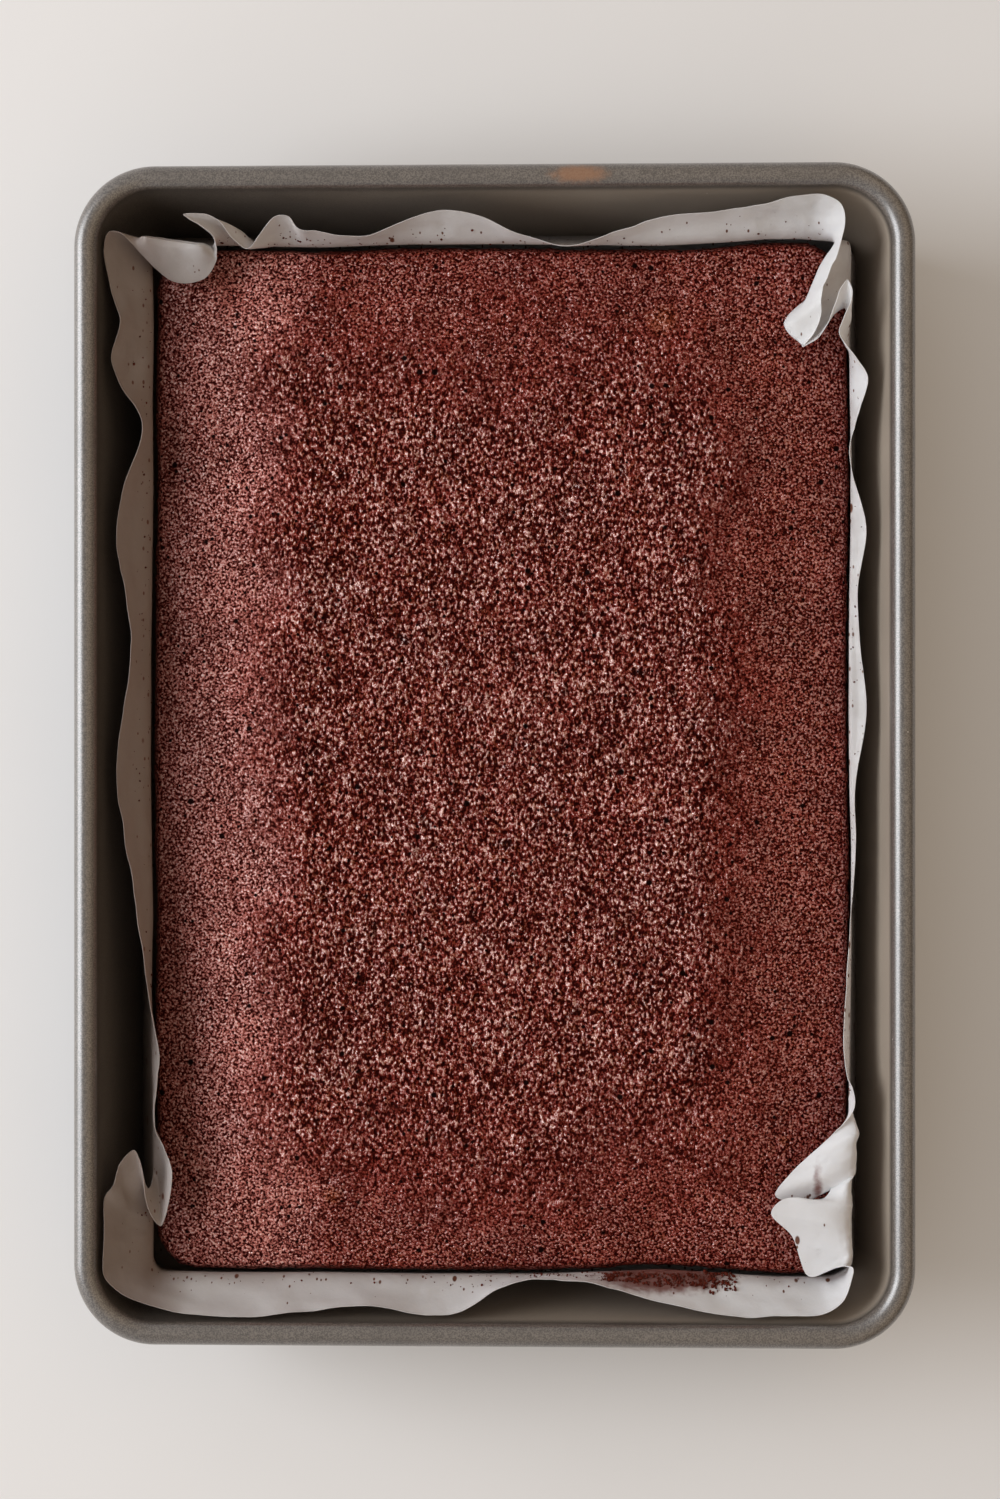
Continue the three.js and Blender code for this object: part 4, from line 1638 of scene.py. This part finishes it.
@dataclass
class BakingPaper:
    """The sheet of baking paper, with a wavy free edge and a fold of its own at each corner."""

    pan: BakingPan
    cake: SheetCake
    thickness: float = 0.16
    gap: float = 0.3
    solid_thickness: float = 0.6
    shoulder_height: float = 36.0
    middle_height: float = 20.0
    cake_clearance: float = 0.7
    middle_clearance: float = 0.5
    middle_share: float = 0.5
    lean_share: float = 0.6
    slide_share: float = 0.3
    steps_per_station: int = 8
    rows_per_span: int = 7
    fillet_rows: int = 5
    path_samples: int = 4000
    edge_reach: float = 0.5
    sharp_degrees: float = 60.0
    free_heights: Ramp = (34.0, 42.0)
    crumple_slant: float = 0.6
    crumple_step: float = 30.0
    soft_crumple: float = 0.45
    soft_crumple_size: float = 8.0
    fine_crumple: float = 0.16
    fine_crumple_size: float = 3.3
    noise: Noise = field(default_factory=lambda: Noise(23))
    surface: tuple[np.ndarray, np.ndarray] = field(init=False)

    # Crests of the waves: place along the wall, distance in from the opening, height
    left_waves: tuple[Point, ...] = (
        (-92, 17.4, 46), (-70, 14.5, 46), (-48, 11.4, 47), (-20, 7, 48), (-5, 5.2, 48),
        (12, 7, 48), (28, 9.2, 47), (46, 8.2, 47), (64, 4.9, 48), (80, 7.4, 48), (99, 12.8, 46),
        (109, 6.8, 47), (118, 3.7, 48), (129, 6.2, 48), (139, 3.4, 48),
    )
    back_waves: tuple[Point, ...] = (
        (-52, 11.6, 47), (-38, 13.2, 46), (-24, 8.2, 48), (-14, 6.2, 49), (-3, 8.2, 48),
        (13, 14.6, 45), (23, 16.2, 45), (37, 12.2, 46), (50, 8.4, 48), (70, 6.4, 49),
        (81, 4.6, 50),
    )
    right_waves: tuple[Point, ...] = (
        (112, 6.2, 44), (103, 8.4, 42), (90, 11.6, 40), (68, 6.4, 39.5), (50, 8.8, 38.5),
        (33, 8.2, 38), (13, 6.2, 38.5), (-9, 9.4, 38), (-28, 9.6, 38), (-57, 11.4, 38),
        (-86, 13, 39.5), (-95, 12.2, 42),
    )
    front_waves: tuple[Point, ...] = (
        (84, 2.6, 50), (75, 2, 50), (62, 3.7, 50), (49, 6.3, 49), (32, 10.6, 47),
        (13, 12.2, 46), (1, 8.8, 47), (-9, 3, 49), (-20, 2.2, 50), (-36, 4.6, 50),
        (-53, 3.3, 50), (-68, 1.8, 51), (-84, 1.4, 51),
    )

    def back_left_fold(self) -> list[tuple[Point, Point | None]]:
        """Give the back left corner: a drooping tongue and a second, narrow fold."""
        return [
            *standing((1.8, 16.5, 49), (3.2, 12.4, 50), (6.9, 12.8, 50)),
            *lip(
                (13.4, 13.8, 50), (30.6, 16.4, 49.4),
                (13.4, 19.4, 44), (21, 25.4, 38.6), (29.6, 24.8, 39), (33.6, 21, 42.4),
            ),
            *standing(
                (35, 17.2, 47), (33.2, 12.8, 48.6), (29.4, 9.8, 50), (25.4, 7.4, 51.2),
                (30, 7, 51), (35.2, 8.2, 50), (39.4, 13.6, 46.6), (43.6, 16.2, 45),
                (47.4, 13, 46.4), (52.2, 7.8, 49), (56.4, 7.6, 49), (59.4, 10.8, 47.4),
            ),
        ]

    def back_right_fold(self) -> list[tuple[Point, Point | None]]:
        """Give the back right corner: a narrow strip, a tongue over the cake and a loop."""
        return [
            *standing((26, 2.6, 51), (19.6, 2.4, 51), (14.6, 5, 50.6), (13.2, 10, 50)),
            *standing((14.4, 16.4, 49.4)),
            ((17, 22.9, 48.8), (19.4, 20.6, 42.4)),
            ((19.1, 27.9, 48), (22.6, 27.9, 42)),
            ((20, 32.3, 47), (25.8, 34, 41.5)),
            ((20.3, 37.6, 46), (30.5, 38.7, 41)),
            ((22.3, 42.6, 45), (28.8, 42.3, 41.2)),
            ((25.6, 46.4, 43.6), (26.2, 43.4, 41.4)),
            ((20.8, 43.7, 45), (19.4, 40, 42)),
            ((18.2, 39.9, 46.8), (16, 37, 43)),
            ((16.1, 34, 48.6), (13.6, 34.4, 43.8)),
            *standing((14.4, 29.4, 50), (12.9, 27.4, 50.4), (11.4, 30.5, 50), (11.7, 33.5, 49)),
            *standing((13.8, 38.2, 47), (14.8, 42.3, 45.6), (12.3, 46, 45.6), (9.7, 49.6, 46)),
        ]

    def front_right_fold(self) -> list[tuple[Point, Point | None]]:
        """Give the front right corner: a long flap and a crumpled one over it."""
        return [
            *standing((10.8, 69, 48), (10.2, 65, 48.4), (11.4, 61.4, 47.8)),
            *lip(
                (9.8, 56.6, 47.4), (10.8, 43.6, 46.2),
                (20.6, 51.4, 43.6), (29.4, 42.6, 41.4), (33.4, 36.4, 40.4), (24.4, 34.4, 39.6),
            ),
            *lip(
                (12.4, 41, 47.4), (12.2, 19.4, 49),
                (17.4, 39.4, 44), (19.6, 36.6, 45.8), (31.2, 36, 44.6), (34.8, 31.6, 43.6),
                (28.6, 25, 43.4), (23.6, 12.8, 41.6), (15.4, 16.2, 46.2),
            ),
            *standing((11.2, 16.6, 50), (11.8, 11.6, 50.4), (14.6, 6, 50.6), (20.4, 2.8, 50.6)),
        ]

    def front_left_fold(self) -> list[tuple[Point, Point | None]]:
        """Give the front left corner: a pleat whose inner strip hugs the cake."""
        return standing(
            (16, 4.6, 51.4), (5.8, 9.2, 51.4), (1.9, 13.6, 51.4), (1.9, 25, 51),
            (2.2, 36.4, 50.4), (4.8, 40.4, 50), (6.2, 46.4, 49.4), (10.6, 50.4, 49),
            (12.6, 45.8, 48.4), (13.8, 36, 47.2), (15.2, 29.6, 44.6), (17.6, 26.8, 42.4),
            (19.8, 31.6, 44.4), (21.8, 43.4, 47), (19.6, 50.4, 47.2), (16.6, 57, 47),
        )

    def on_base(self, shares: np.ndarray) -> tuple[np.ndarray, np.ndarray]:
        """Find places on the base outline, which runs clockwise from the left side's front end.

        Args:
            shares: Shares of the outline's length.

        Returns:
            Rows of X and Y, and the outward direction at each.
        """
        pan = self.pan
        radius = pan.base_radius
        half_x = pan.base_half_width - radius
        half_y = pan.base_half_length - radius
        arc = math.pi / 2 * radius
        lengths = [2 * half_y, arc, 2 * half_x, arc, 2 * half_y, arc, 2 * half_x, arc]
        starts = np.concatenate([[0.0], np.cumsum(lengths)])
        along = (np.asarray(shares) % 1.0) * starts[-1]
        part = np.clip(np.searchsorted(starts, along, side="right") - 1, 0, 7)
        rest = along - starts[part]
        side = part // 2
        turn = np.where(part % 2 == 1, rest / radius, 0.0)
        angle = math.pi - side * math.pi / 2 - turn
        outward = np.stack([np.cos(angle), np.sin(angle)], axis=-1)
        corners = np.array([[-1, -1], [-1, 1], [1, 1], [1, -1]]) * (half_x, half_y)
        start = corners[side]
        ahead = np.stack([outward[..., 1], -outward[..., 0]], axis=-1)
        straight = start + radius * outward + ahead * rest[..., None]
        bent = corners[(side + 1) % 4] + radius * outward
        return np.where((part % 2 == 1)[..., None], bent, straight), outward

    def nearest_share(self, place: Sequence[float]) -> float:
        """Find the place on the base outline that lies nearest another place.

        Args:
            place: The other place.

        Returns:
            Its share of the outline's length.
        """
        shares = np.arange(self.path_samples) / self.path_samples
        points, _ = self.on_base(shares)
        return float(shares[np.argmin(np.hypot(points[:, 0] - place[0], points[:, 1] - place[1]))])

    def wave_stations(self, waves: Sequence[Point], wall: str) -> list[Station]:
        """Make the stations along one wall.

        Args:
            waves: The wall's crests.
            wall: left, back, right or front.

        Returns:
            The stations.
        """
        width, length = self.pan.opening_half_width, self.pan.opening_half_length
        stations = []
        for along, inset, height in waves:
            place = {
                "left": (inset - width, along, height),
                "back": (along, length - inset, height),
                "right": (width - inset, along, height),
                "front": (along, inset - length, height),
            }[wall]
            stations.append(Station(place, self.nearest_share(place)))
        return stations

    def fold_stations(
        self, fold: list[tuple[Point, Point | None]], sign_x: int, sign_y: int
    ) -> list[Station]:
        """Make the stations of one corner, whose feet share out the base outline.

        Args:
            fold: The corner's places.
            sign_x: Which side the corner is on.
            sign_y: Which end it is at.

        Returns:
            The stations.
        """
        pan = self.pan

        def place(point: Point) -> Point:
            """Turn distances from the walls into a place."""
            x = sign_x * (pan.opening_half_width - point[0])
            return (x, sign_y * (pan.opening_half_length - point[1]), point[2])

        edges = np.array([place(edge) for edge, _ in fold])
        steps = np.linalg.norm(np.diff(edges, axis=0), axis=1)
        lengths = np.concatenate([[0.0], np.cumsum(steps)])
        first = self.nearest_share(edges[0])
        last = self.nearest_share(edges[-1])
        if last < first:
            last += 1.0
        stations = []
        for (edge, ridge), length in zip(fold, lengths):
            stations.append(
                Station(
                    edge=place(edge),
                    share=(first + (last - first) * length / lengths[-1]) % 1.0,
                    ridge=place(ridge) if ridge else None,
                )
            )
        return stations

    def stations(self) -> list[Station]:
        """Give every station, clockwise from the front end of the left wall."""
        return [
            *self.wave_stations(self.left_waves, "left"),
            *self.fold_stations(self.back_left_fold(), -1, 1),
            *self.wave_stations(self.back_waves, "back"),
            *self.fold_stations(self.back_right_fold(), 1, 1),
            *self.wave_stations(self.right_waves, "right"),
            *self.fold_stations(self.front_right_fold(), 1, -1),
            *self.wave_stations(self.front_waves, "front"),
            *self.fold_stations(self.front_left_fold(), -1, -1),
        ]

    def shoulder_inset(self, station: Station) -> float:
        """Tell how far in from the wall the paper stands beside the cake's top edge.

        Args:
            station: The place on the free edge.

        Returns:
            The distance, which follows the cake's side.
        """
        foot, outward = self.on_base(np.array([station.share]))
        out_x, out_y = outward[0]
        wall = self.pan.wall_outset(self.shoulder_height)
        if abs(out_x) > abs(out_y):
            half = self.pan.base_half_width + wall - self.cake.width / 2
            room = half - math.copysign(1.0, out_x) * self.cake.centre_x
        else:
            half = self.pan.base_half_length + wall - self.cake.length / 2
            room = half - math.copysign(1.0, out_y) * self.cake.centre_y
        beside = foot + outward * (wall - room)
        waver = float(self.cake.waver(beside[:, 0], beside[:, 1])[0])
        return room - waver - self.cake_clearance

    def leaning_ridge(self, station: Station, shoulder: np.ndarray) -> Point:
        """Give the middle of standing paper, which leans in sooner than it slides along the wall.

        Args:
            station: The place on the free edge.
            shoulder: The place beside the cake's top edge.

        Returns:
            The place between the two.
        """
        _, outward = self.on_base(np.array([station.share]))
        along = np.array([outward[0][1], -outward[0][0], 0.0])
        span = np.array(station.edge) - shoulder
        late = (self.lean_share - self.slide_share) * float(span @ along)
        return tuple(shoulder + self.lean_share * span - late * along)

    def closed_curve(self, points: np.ndarray) -> np.ndarray:
        """Draw a smooth closed curve with evenly shared steps between its points.

        Args:
            points: The points that it passes through.

        Returns:
            The curve's points, with a point of the list at each whole step.
        """
        before, start = np.roll(points, 1, axis=0), points
        end, after = np.roll(points, -1, axis=0), np.roll(points, -2, axis=0)
        return self.spans(before, start, end, after, self.steps_per_station).reshape(-1, 3)

    def spans(
        self, before: np.ndarray, start: np.ndarray, end: np.ndarray, after: np.ndarray, steps: int
    ) -> np.ndarray:
        """Draw smooth spans through four points each, from the second to the third.

        Args:
            before: First points.
            start: Second points.
            end: Third points.
            after: Fourth points.
            steps: Steps in a span.

        Returns:
            An array of spans by steps by coordinates, without the last point of each span.
        """

        def interval(a: np.ndarray, b: np.ndarray) -> np.ndarray:
            """Give the root of the distance between points."""
            return np.maximum(np.sum((b - a) ** 2, axis=1) ** 0.25, 1e-4)[:, None]

        gap_0, gap_1, gap_2 = interval(before, start), interval(start, end), interval(end, after)
        leave = (start - before) / gap_0 - (end - before) / (gap_0 + gap_1) + (end - start) / gap_1
        arrive = (end - start) / gap_1 - (after - start) / (gap_1 + gap_2) + (after - end) / gap_2
        leave, arrive = leave * gap_1, arrive * gap_1
        part = (np.arange(steps) / steps)[None, :, None]
        start, end, leave, arrive = (v[:, None, :] for v in (start, end, leave, arrive))
        return (
            start
            + leave * part
            + (3 * (end - start) - 2 * leave - arrive) * part**2
            + (2 * (start - end) + leave + arrive) * part**3
        )

    def ribs(self) -> np.ndarray:
        """Make the middle of the sheet.

        Returns:
            An array of rows, from the floor to the free edge, by steps round the pan by XYZ.
        """
        pan = self.pan
        stations = self.stations()
        steps = self.steps_per_station
        insets = np.array([self.shoulder_inset(station) for station in stations])
        shares = np.array([station.share for station in stations])
        ahead = np.roll(shares, -1)
        ahead = ahead + (ahead < shares)
        part = np.arange(steps) / steps
        share = (shares[:, None] + (ahead - shares)[:, None] * part).ravel()
        inset = (insets[:, None] + (np.roll(insets, -1) - insets)[:, None] * part).ravel()
        foot, outward = self.on_base(share)

        def at(outset: object, height: float) -> np.ndarray:
            """Give the points that stand outside the base outline at a height."""
            flat = foot + outward * np.reshape(outset, (-1, 1))
            return np.column_stack([flat, np.full(len(flat), height)])

        rows = []
        radius = pan.floor_fillet - self.gap - self.solid_thickness / 2
        for angle in np.linspace(-math.pi / 2, -pan.wall_angle, self.fillet_rows):
            height = pan.fillet_height + radius * math.sin(angle)
            rows.append(at(radius * math.cos(angle), height))
        middle_inset = self.middle_share * inset + self.middle_clearance
        middle = at(pan.wall_outset(self.middle_height) - middle_inset, self.middle_height)
        shoulder = at(pan.wall_outset(self.shoulder_height) - inset, self.shoulder_height)
        edge = self.closed_curve(np.array([station.edge for station in stations]))
        coarse_shoulder = shoulder[::steps]
        ridges = [
            station.ridge or self.leaning_ridge(station, low)
            for station, low in zip(stations, coarse_shoulder)
        ]
        ridge = self.closed_curve(np.array(ridges))
        rows.extend([middle, (middle * 2 + shoulder) / 3, (middle + shoulder * 2) / 3])
        beyond = edge + self.edge_reach * (edge - ridge)
        count = self.rows_per_span
        for before, start, end, after in (
            (middle, shoulder, ridge, edge),
            (shoulder, ridge, edge, beyond),
        ):
            span = self.spans(before, start, end, after, count)
            rows.extend(span[:, step] for step in range(count))
        rows.append(edge)
        return np.array(rows)

    def crumple(self, sheet: np.ndarray) -> np.ndarray:
        """Make the sheet uneven, as handled paper is.

        Args:
            sheet: The sheet's rows of points.

        Returns:
            How far each point moves along the sheet's own normal.
        """
        edge_steps = np.linalg.norm(np.diff(sheet[-1], axis=0, append=sheet[-1][:1]), axis=1)
        around = np.concatenate([[0.0], np.cumsum(edge_steps)[:-1]])
        up_steps = np.linalg.norm(np.diff(sheet, axis=0, prepend=sheet[:1]), axis=2)
        up = np.cumsum(up_steps, axis=0)
        around = np.broadcast_to(around, up.shape)
        slanted = around + self.crumple_slant * up
        soft = self.noise.waves(slanted, up, self.soft_crumple_size)
        fine = self.noise.waves(around, up + self.crumple_step, self.fine_crumple_size)
        free = smoothstep(sheet[..., 2], *self.free_heights)
        return (self.soft_crumple * soft + self.fine_crumple * fine) * free

    def normals(self, points: np.ndarray, faces: np.ndarray) -> np.ndarray:
        """Give the normal at each vertex.

        Args:
            points: The vertices.
            faces: Rows of four vertex numbers.

        Returns:
            One unit vector for each vertex.
        """
        corners = points[faces]
        across = np.cross(corners[:, 2] - corners[:, 0], corners[:, 3] - corners[:, 1])
        total = np.zeros_like(points)
        for corner in range(4):
            np.add.at(total, faces[:, corner], across)
        return total / np.maximum(np.linalg.norm(total, axis=1, keepdims=True), 1e-9)

    def build(self, material: bpy.types.Material) -> list[bpy.types.Object]:
        """Make the paper.

        Args:
            material: Its material.

        Returns:
            Its pieces.
        """
        sheet = self.ribs()
        rows, count = sheet.shape[:2]
        walls = np.concatenate(
            [band(row * count, (row + 1) * count, count) for row in range(rows - 1)]
        )
        move = self.crumple(sheet).reshape(-1, 1)
        points = sheet.reshape(-1, 3)
        points = points + self.normals(points, walls) * move
        normal = self.normals(points, walls)
        self.surface = (points.reshape(rows, count, 3), normal.reshape(rows, count, 3))
        floor_centre = np.array([[0.0, 0.0, sheet[0, 0, 2]]])
        half = self.thickness / 2
        outer = np.concatenate([points + half * normal, floor_centre - [[0.0, 0.0, half]]])
        inner = np.concatenate([points - half * normal, floor_centre + [[0.0, 0.0, half]]])
        total = len(outer)
        edge = (rows - 1) * count
        faces = [
            walls,
            walls[:, ::-1] + total,
            band(edge, edge + total, count),
            fan(0, count, total - 1, False),
            fan(total, count, 2 * total - 1, True),
        ]
        points = np.concatenate([outer, inner])
        piece = make_mesh("baking_paper", points, faces, material, self.sharp_degrees)
        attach(piece, "root")
        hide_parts("liner")
        return [piece]


# Loose crumbs


@dataclass(frozen=True)
class CrumbPatch:
    """Crumbs that lie close together on the paper."""

    x: float
    y: float
    reach_x: float
    reach_y: float
    count: int
    smallest: float
    largest: float


@dataclass
class LooseCrumbs:
    """The crumbs that stick to the paper beside the cake."""

    paper: BakingPaper
    patches: tuple[CrumbPatch, ...] = (
        CrumbPatch(52.0, -157.0, 20.0, 2.6, 520, 0.16, 0.62),
        CrumbPatch(22.0, -156.0, 12.0, 1.6, 60, 0.14, 0.40),
        CrumbPatch(0.0, -160.0, 95.0, 6.0, 70, 0.15, 0.40),
        CrumbPatch(0.0, 157.0, 95.0, 5.0, 80, 0.15, 0.42),
        CrumbPatch(-108.0, 0.0, 5.0, 145.0, 70, 0.15, 0.38),
        CrumbPatch(107.0, 0.0, 5.0, 145.0, 60, 0.15, 0.38),
    )
    lowest: float = 33.5
    highest: float = 42.0
    stretch: tuple[float, float] = (0.7, 1.3)
    lumpiness: tuple[float, float] = (0.75, 1.25)
    inset_share: float = 0.5
    seed: int = 5

    def build(self, material: bpy.types.Material) -> list[bpy.types.Object]:
        """Make all the crumbs as one piece.

        Args:
            material: Their material.

        Returns:
            Their pieces.
        """
        draw = np.random.default_rng(self.seed)
        places, normals = self.paper.surface
        low = (places[..., 2] > self.lowest) & (places[..., 2] < self.highest)
        ball, ball_faces = self.ball()
        points, faces = [], []
        for patch in self.patches:
            near = (np.abs(places[..., 0] - patch.x) < patch.reach_x) & (
                np.abs(places[..., 1] - patch.y) < patch.reach_y
            )
            rows, columns = np.nonzero(low & near)
            for index in draw.integers(0, len(rows), patch.count):
                size = patch.smallest + (patch.largest - patch.smallest) * draw.random() ** 2
                row, column = rows[index], columns[index]
                corner = places[row, column]
                beside = places[row, (column + 1) % places.shape[1]] - corner
                above = places[min(row + 1, len(places) - 1), column] - corner
                spot = corner + draw.random() * beside + draw.random() * above
                inward = -normals[row, column]
                stretched = ball * size * draw.uniform(*self.stretch, 3)
                lumpy = stretched * draw.uniform(*self.lumpiness, (len(ball), 1))
                faces.append(ball_faces + len(ball) * len(points))
                points.append(lumpy + spot + inward * size * self.inset_share)
        piece = make_mesh("loose_crumbs", np.concatenate(points), faces, material)
        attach(piece, "root")
        return [piece]

    def ball(self) -> tuple[np.ndarray, np.ndarray]:
        """Make a round form of 20 faces.

        Returns:
            Its points and its faces.
        """
        golden = (1 + math.sqrt(5)) / 2
        points = []
        for a in (-1.0, 1.0):
            for b in (-golden, golden):
                points.extend([(0.0, a, b), (a, b, 0.0), (b, 0.0, a)])
        corners = np.array(points) / math.hypot(1.0, golden)
        side = 2.0 / math.hypot(1.0, golden)
        faces = []
        for numbers in combinations(range(len(corners)), 3):
            trio = corners[list(numbers)]
            sides = np.linalg.norm(trio - np.roll(trio, 1, axis=0), axis=1)
            if math.isclose(sides.max(), side):
                out = np.dot(np.cross(trio[1] - trio[0], trio[2] - trio[0]), trio[0]) > 0
                faces.append(numbers if out else (numbers[0], numbers[2], numbers[1]))
        return corners, np.array(faces)


# Surroundings


@dataclass
class Studio:
    """The plain floor, in millimetres, and the soft light and the camera, in metres."""

    floor_half_width: float = 1600.0
    floor_height: float = -0.1
    rim_height: float = 0.054
    camera_distance: float = 0.900
    camera_tilt_degrees: float = 1.9
    framed_height: float = 0.440
    look_x: float = 0.0022
    look_y: float = 0.00176
    light_place: Point = (-1.60, 0.17, 1.00)
    light_size: float = 1.35
    light_power: float = 34.0
    light_tint: Colour = (0.94, 0.965, 1.0)
    side_ramp: Ramp = (-0.3, 0.5)
    up_ramp: Ramp = (0.0, 0.9)
    window_side_low: Colour = (0.72, 0.70, 0.69)
    window_side_high: Colour = (0.40, 0.390, 0.380)
    room_side_low: Colour = (0.12, 0.090, 0.062)
    room_side_high: Colour = (0.78, 0.625, 0.470)

    def build_floor(self, material: bpy.types.Material) -> None:
        """Lay the floor.

        Args:
            material: Its material.
        """
        square = np.array([[-1, -1], [1, -1], [1, 1], [-1, 1]]) * self.floor_half_width
        corners = np.column_stack([square, np.full(len(square), self.floor_height)])
        floor = make_mesh("floor", corners, [np.array([[0, 1, 2, 3]])], material)

    def build_light(self) -> None:
        """Hang one large soft light and set the dim surroundings."""
        lamp = bpy.data.lights.new("window", "AREA")
        lamp.shape = "SQUARE"
        lamp.size = self.light_size
        lamp.energy = self.light_power
        lamp.color = self.light_tint
        hung = bpy.data.objects.new("window", lamp)
        hung.location = self.light_place
        away = hung.location.copy()
        hung.rotation_mode = "QUATERNION"
        hung.rotation_quaternion = away.to_track_quat("Z", "Y")
        bpy.context.collection.objects.link(hung)
        world = bpy.data.worlds.new("studio")
        world.use_nodes = True
        sheet = NodeSheet(world.node_tree)
        across, _, up = sheet.axes(sheet.add("ShaderNodeTexCoord").outputs["Generated"])
        side = sheet.remap(across, *self.side_ramp)
        low = sheet.mix(side, self.window_side_low, self.room_side_low)
        high = sheet.mix(side, self.window_side_high, self.room_side_high)
        shade = sheet.mix(sheet.remap(up, *self.up_ramp), low, high)
        sheet.feed(world.node_tree.nodes["Background"].inputs["Color"], shade)
        bpy.context.scene.world = world

    def build_camera(self) -> None:
        """Set the camera above the pan, leaning a little as the photograph does."""
        lens = bpy.data.cameras.new("camera")
        lens.lens = lens.sensor_width * self.camera_distance / self.framed_height
        camera = bpy.data.objects.new("camera", lens)
        lean = math.radians(self.camera_tilt_degrees)
        camera.location = (
            self.look_x + self.camera_distance * math.sin(lean),
            self.look_y,
            self.rim_height + self.camera_distance * math.cos(lean),
        )
        camera.rotation_euler = (0.0, lean, 0.0)
        bpy.context.collection.objects.link(camera)
        bpy.context.scene.camera = camera
        bpy.context.scene.view_settings.view_transform = "Standard"


def main() -> None:
    """Build every sub-assembly in order and report its pieces."""
    logging.basicConfig(level=logging.INFO, format="%(name)s: %(message)s")
    effects = Effects()
    pan = BakingPan()
    cake = SheetCake()
    paper = BakingPaper(pan, cake)
    crumbs = LooseCrumbs(paper)
    built = [
        *pan.build(PanFinish(effects).material()),
        *paper.build(PaperFinish(effects).material()),
        *cake.build(CakeFinish(effects).material()),
        *crumbs.build(CrumbFinish(effects).material()),
    ]
    for piece in built:
        log.info("%s has %d faces", piece.name, len(piece.data.polygons))
    studio = Studio()
    studio.build_floor(FloorFinish(effects).material())
    studio.build_light()
    studio.build_camera()


if __name__ == "__main__":
    main()
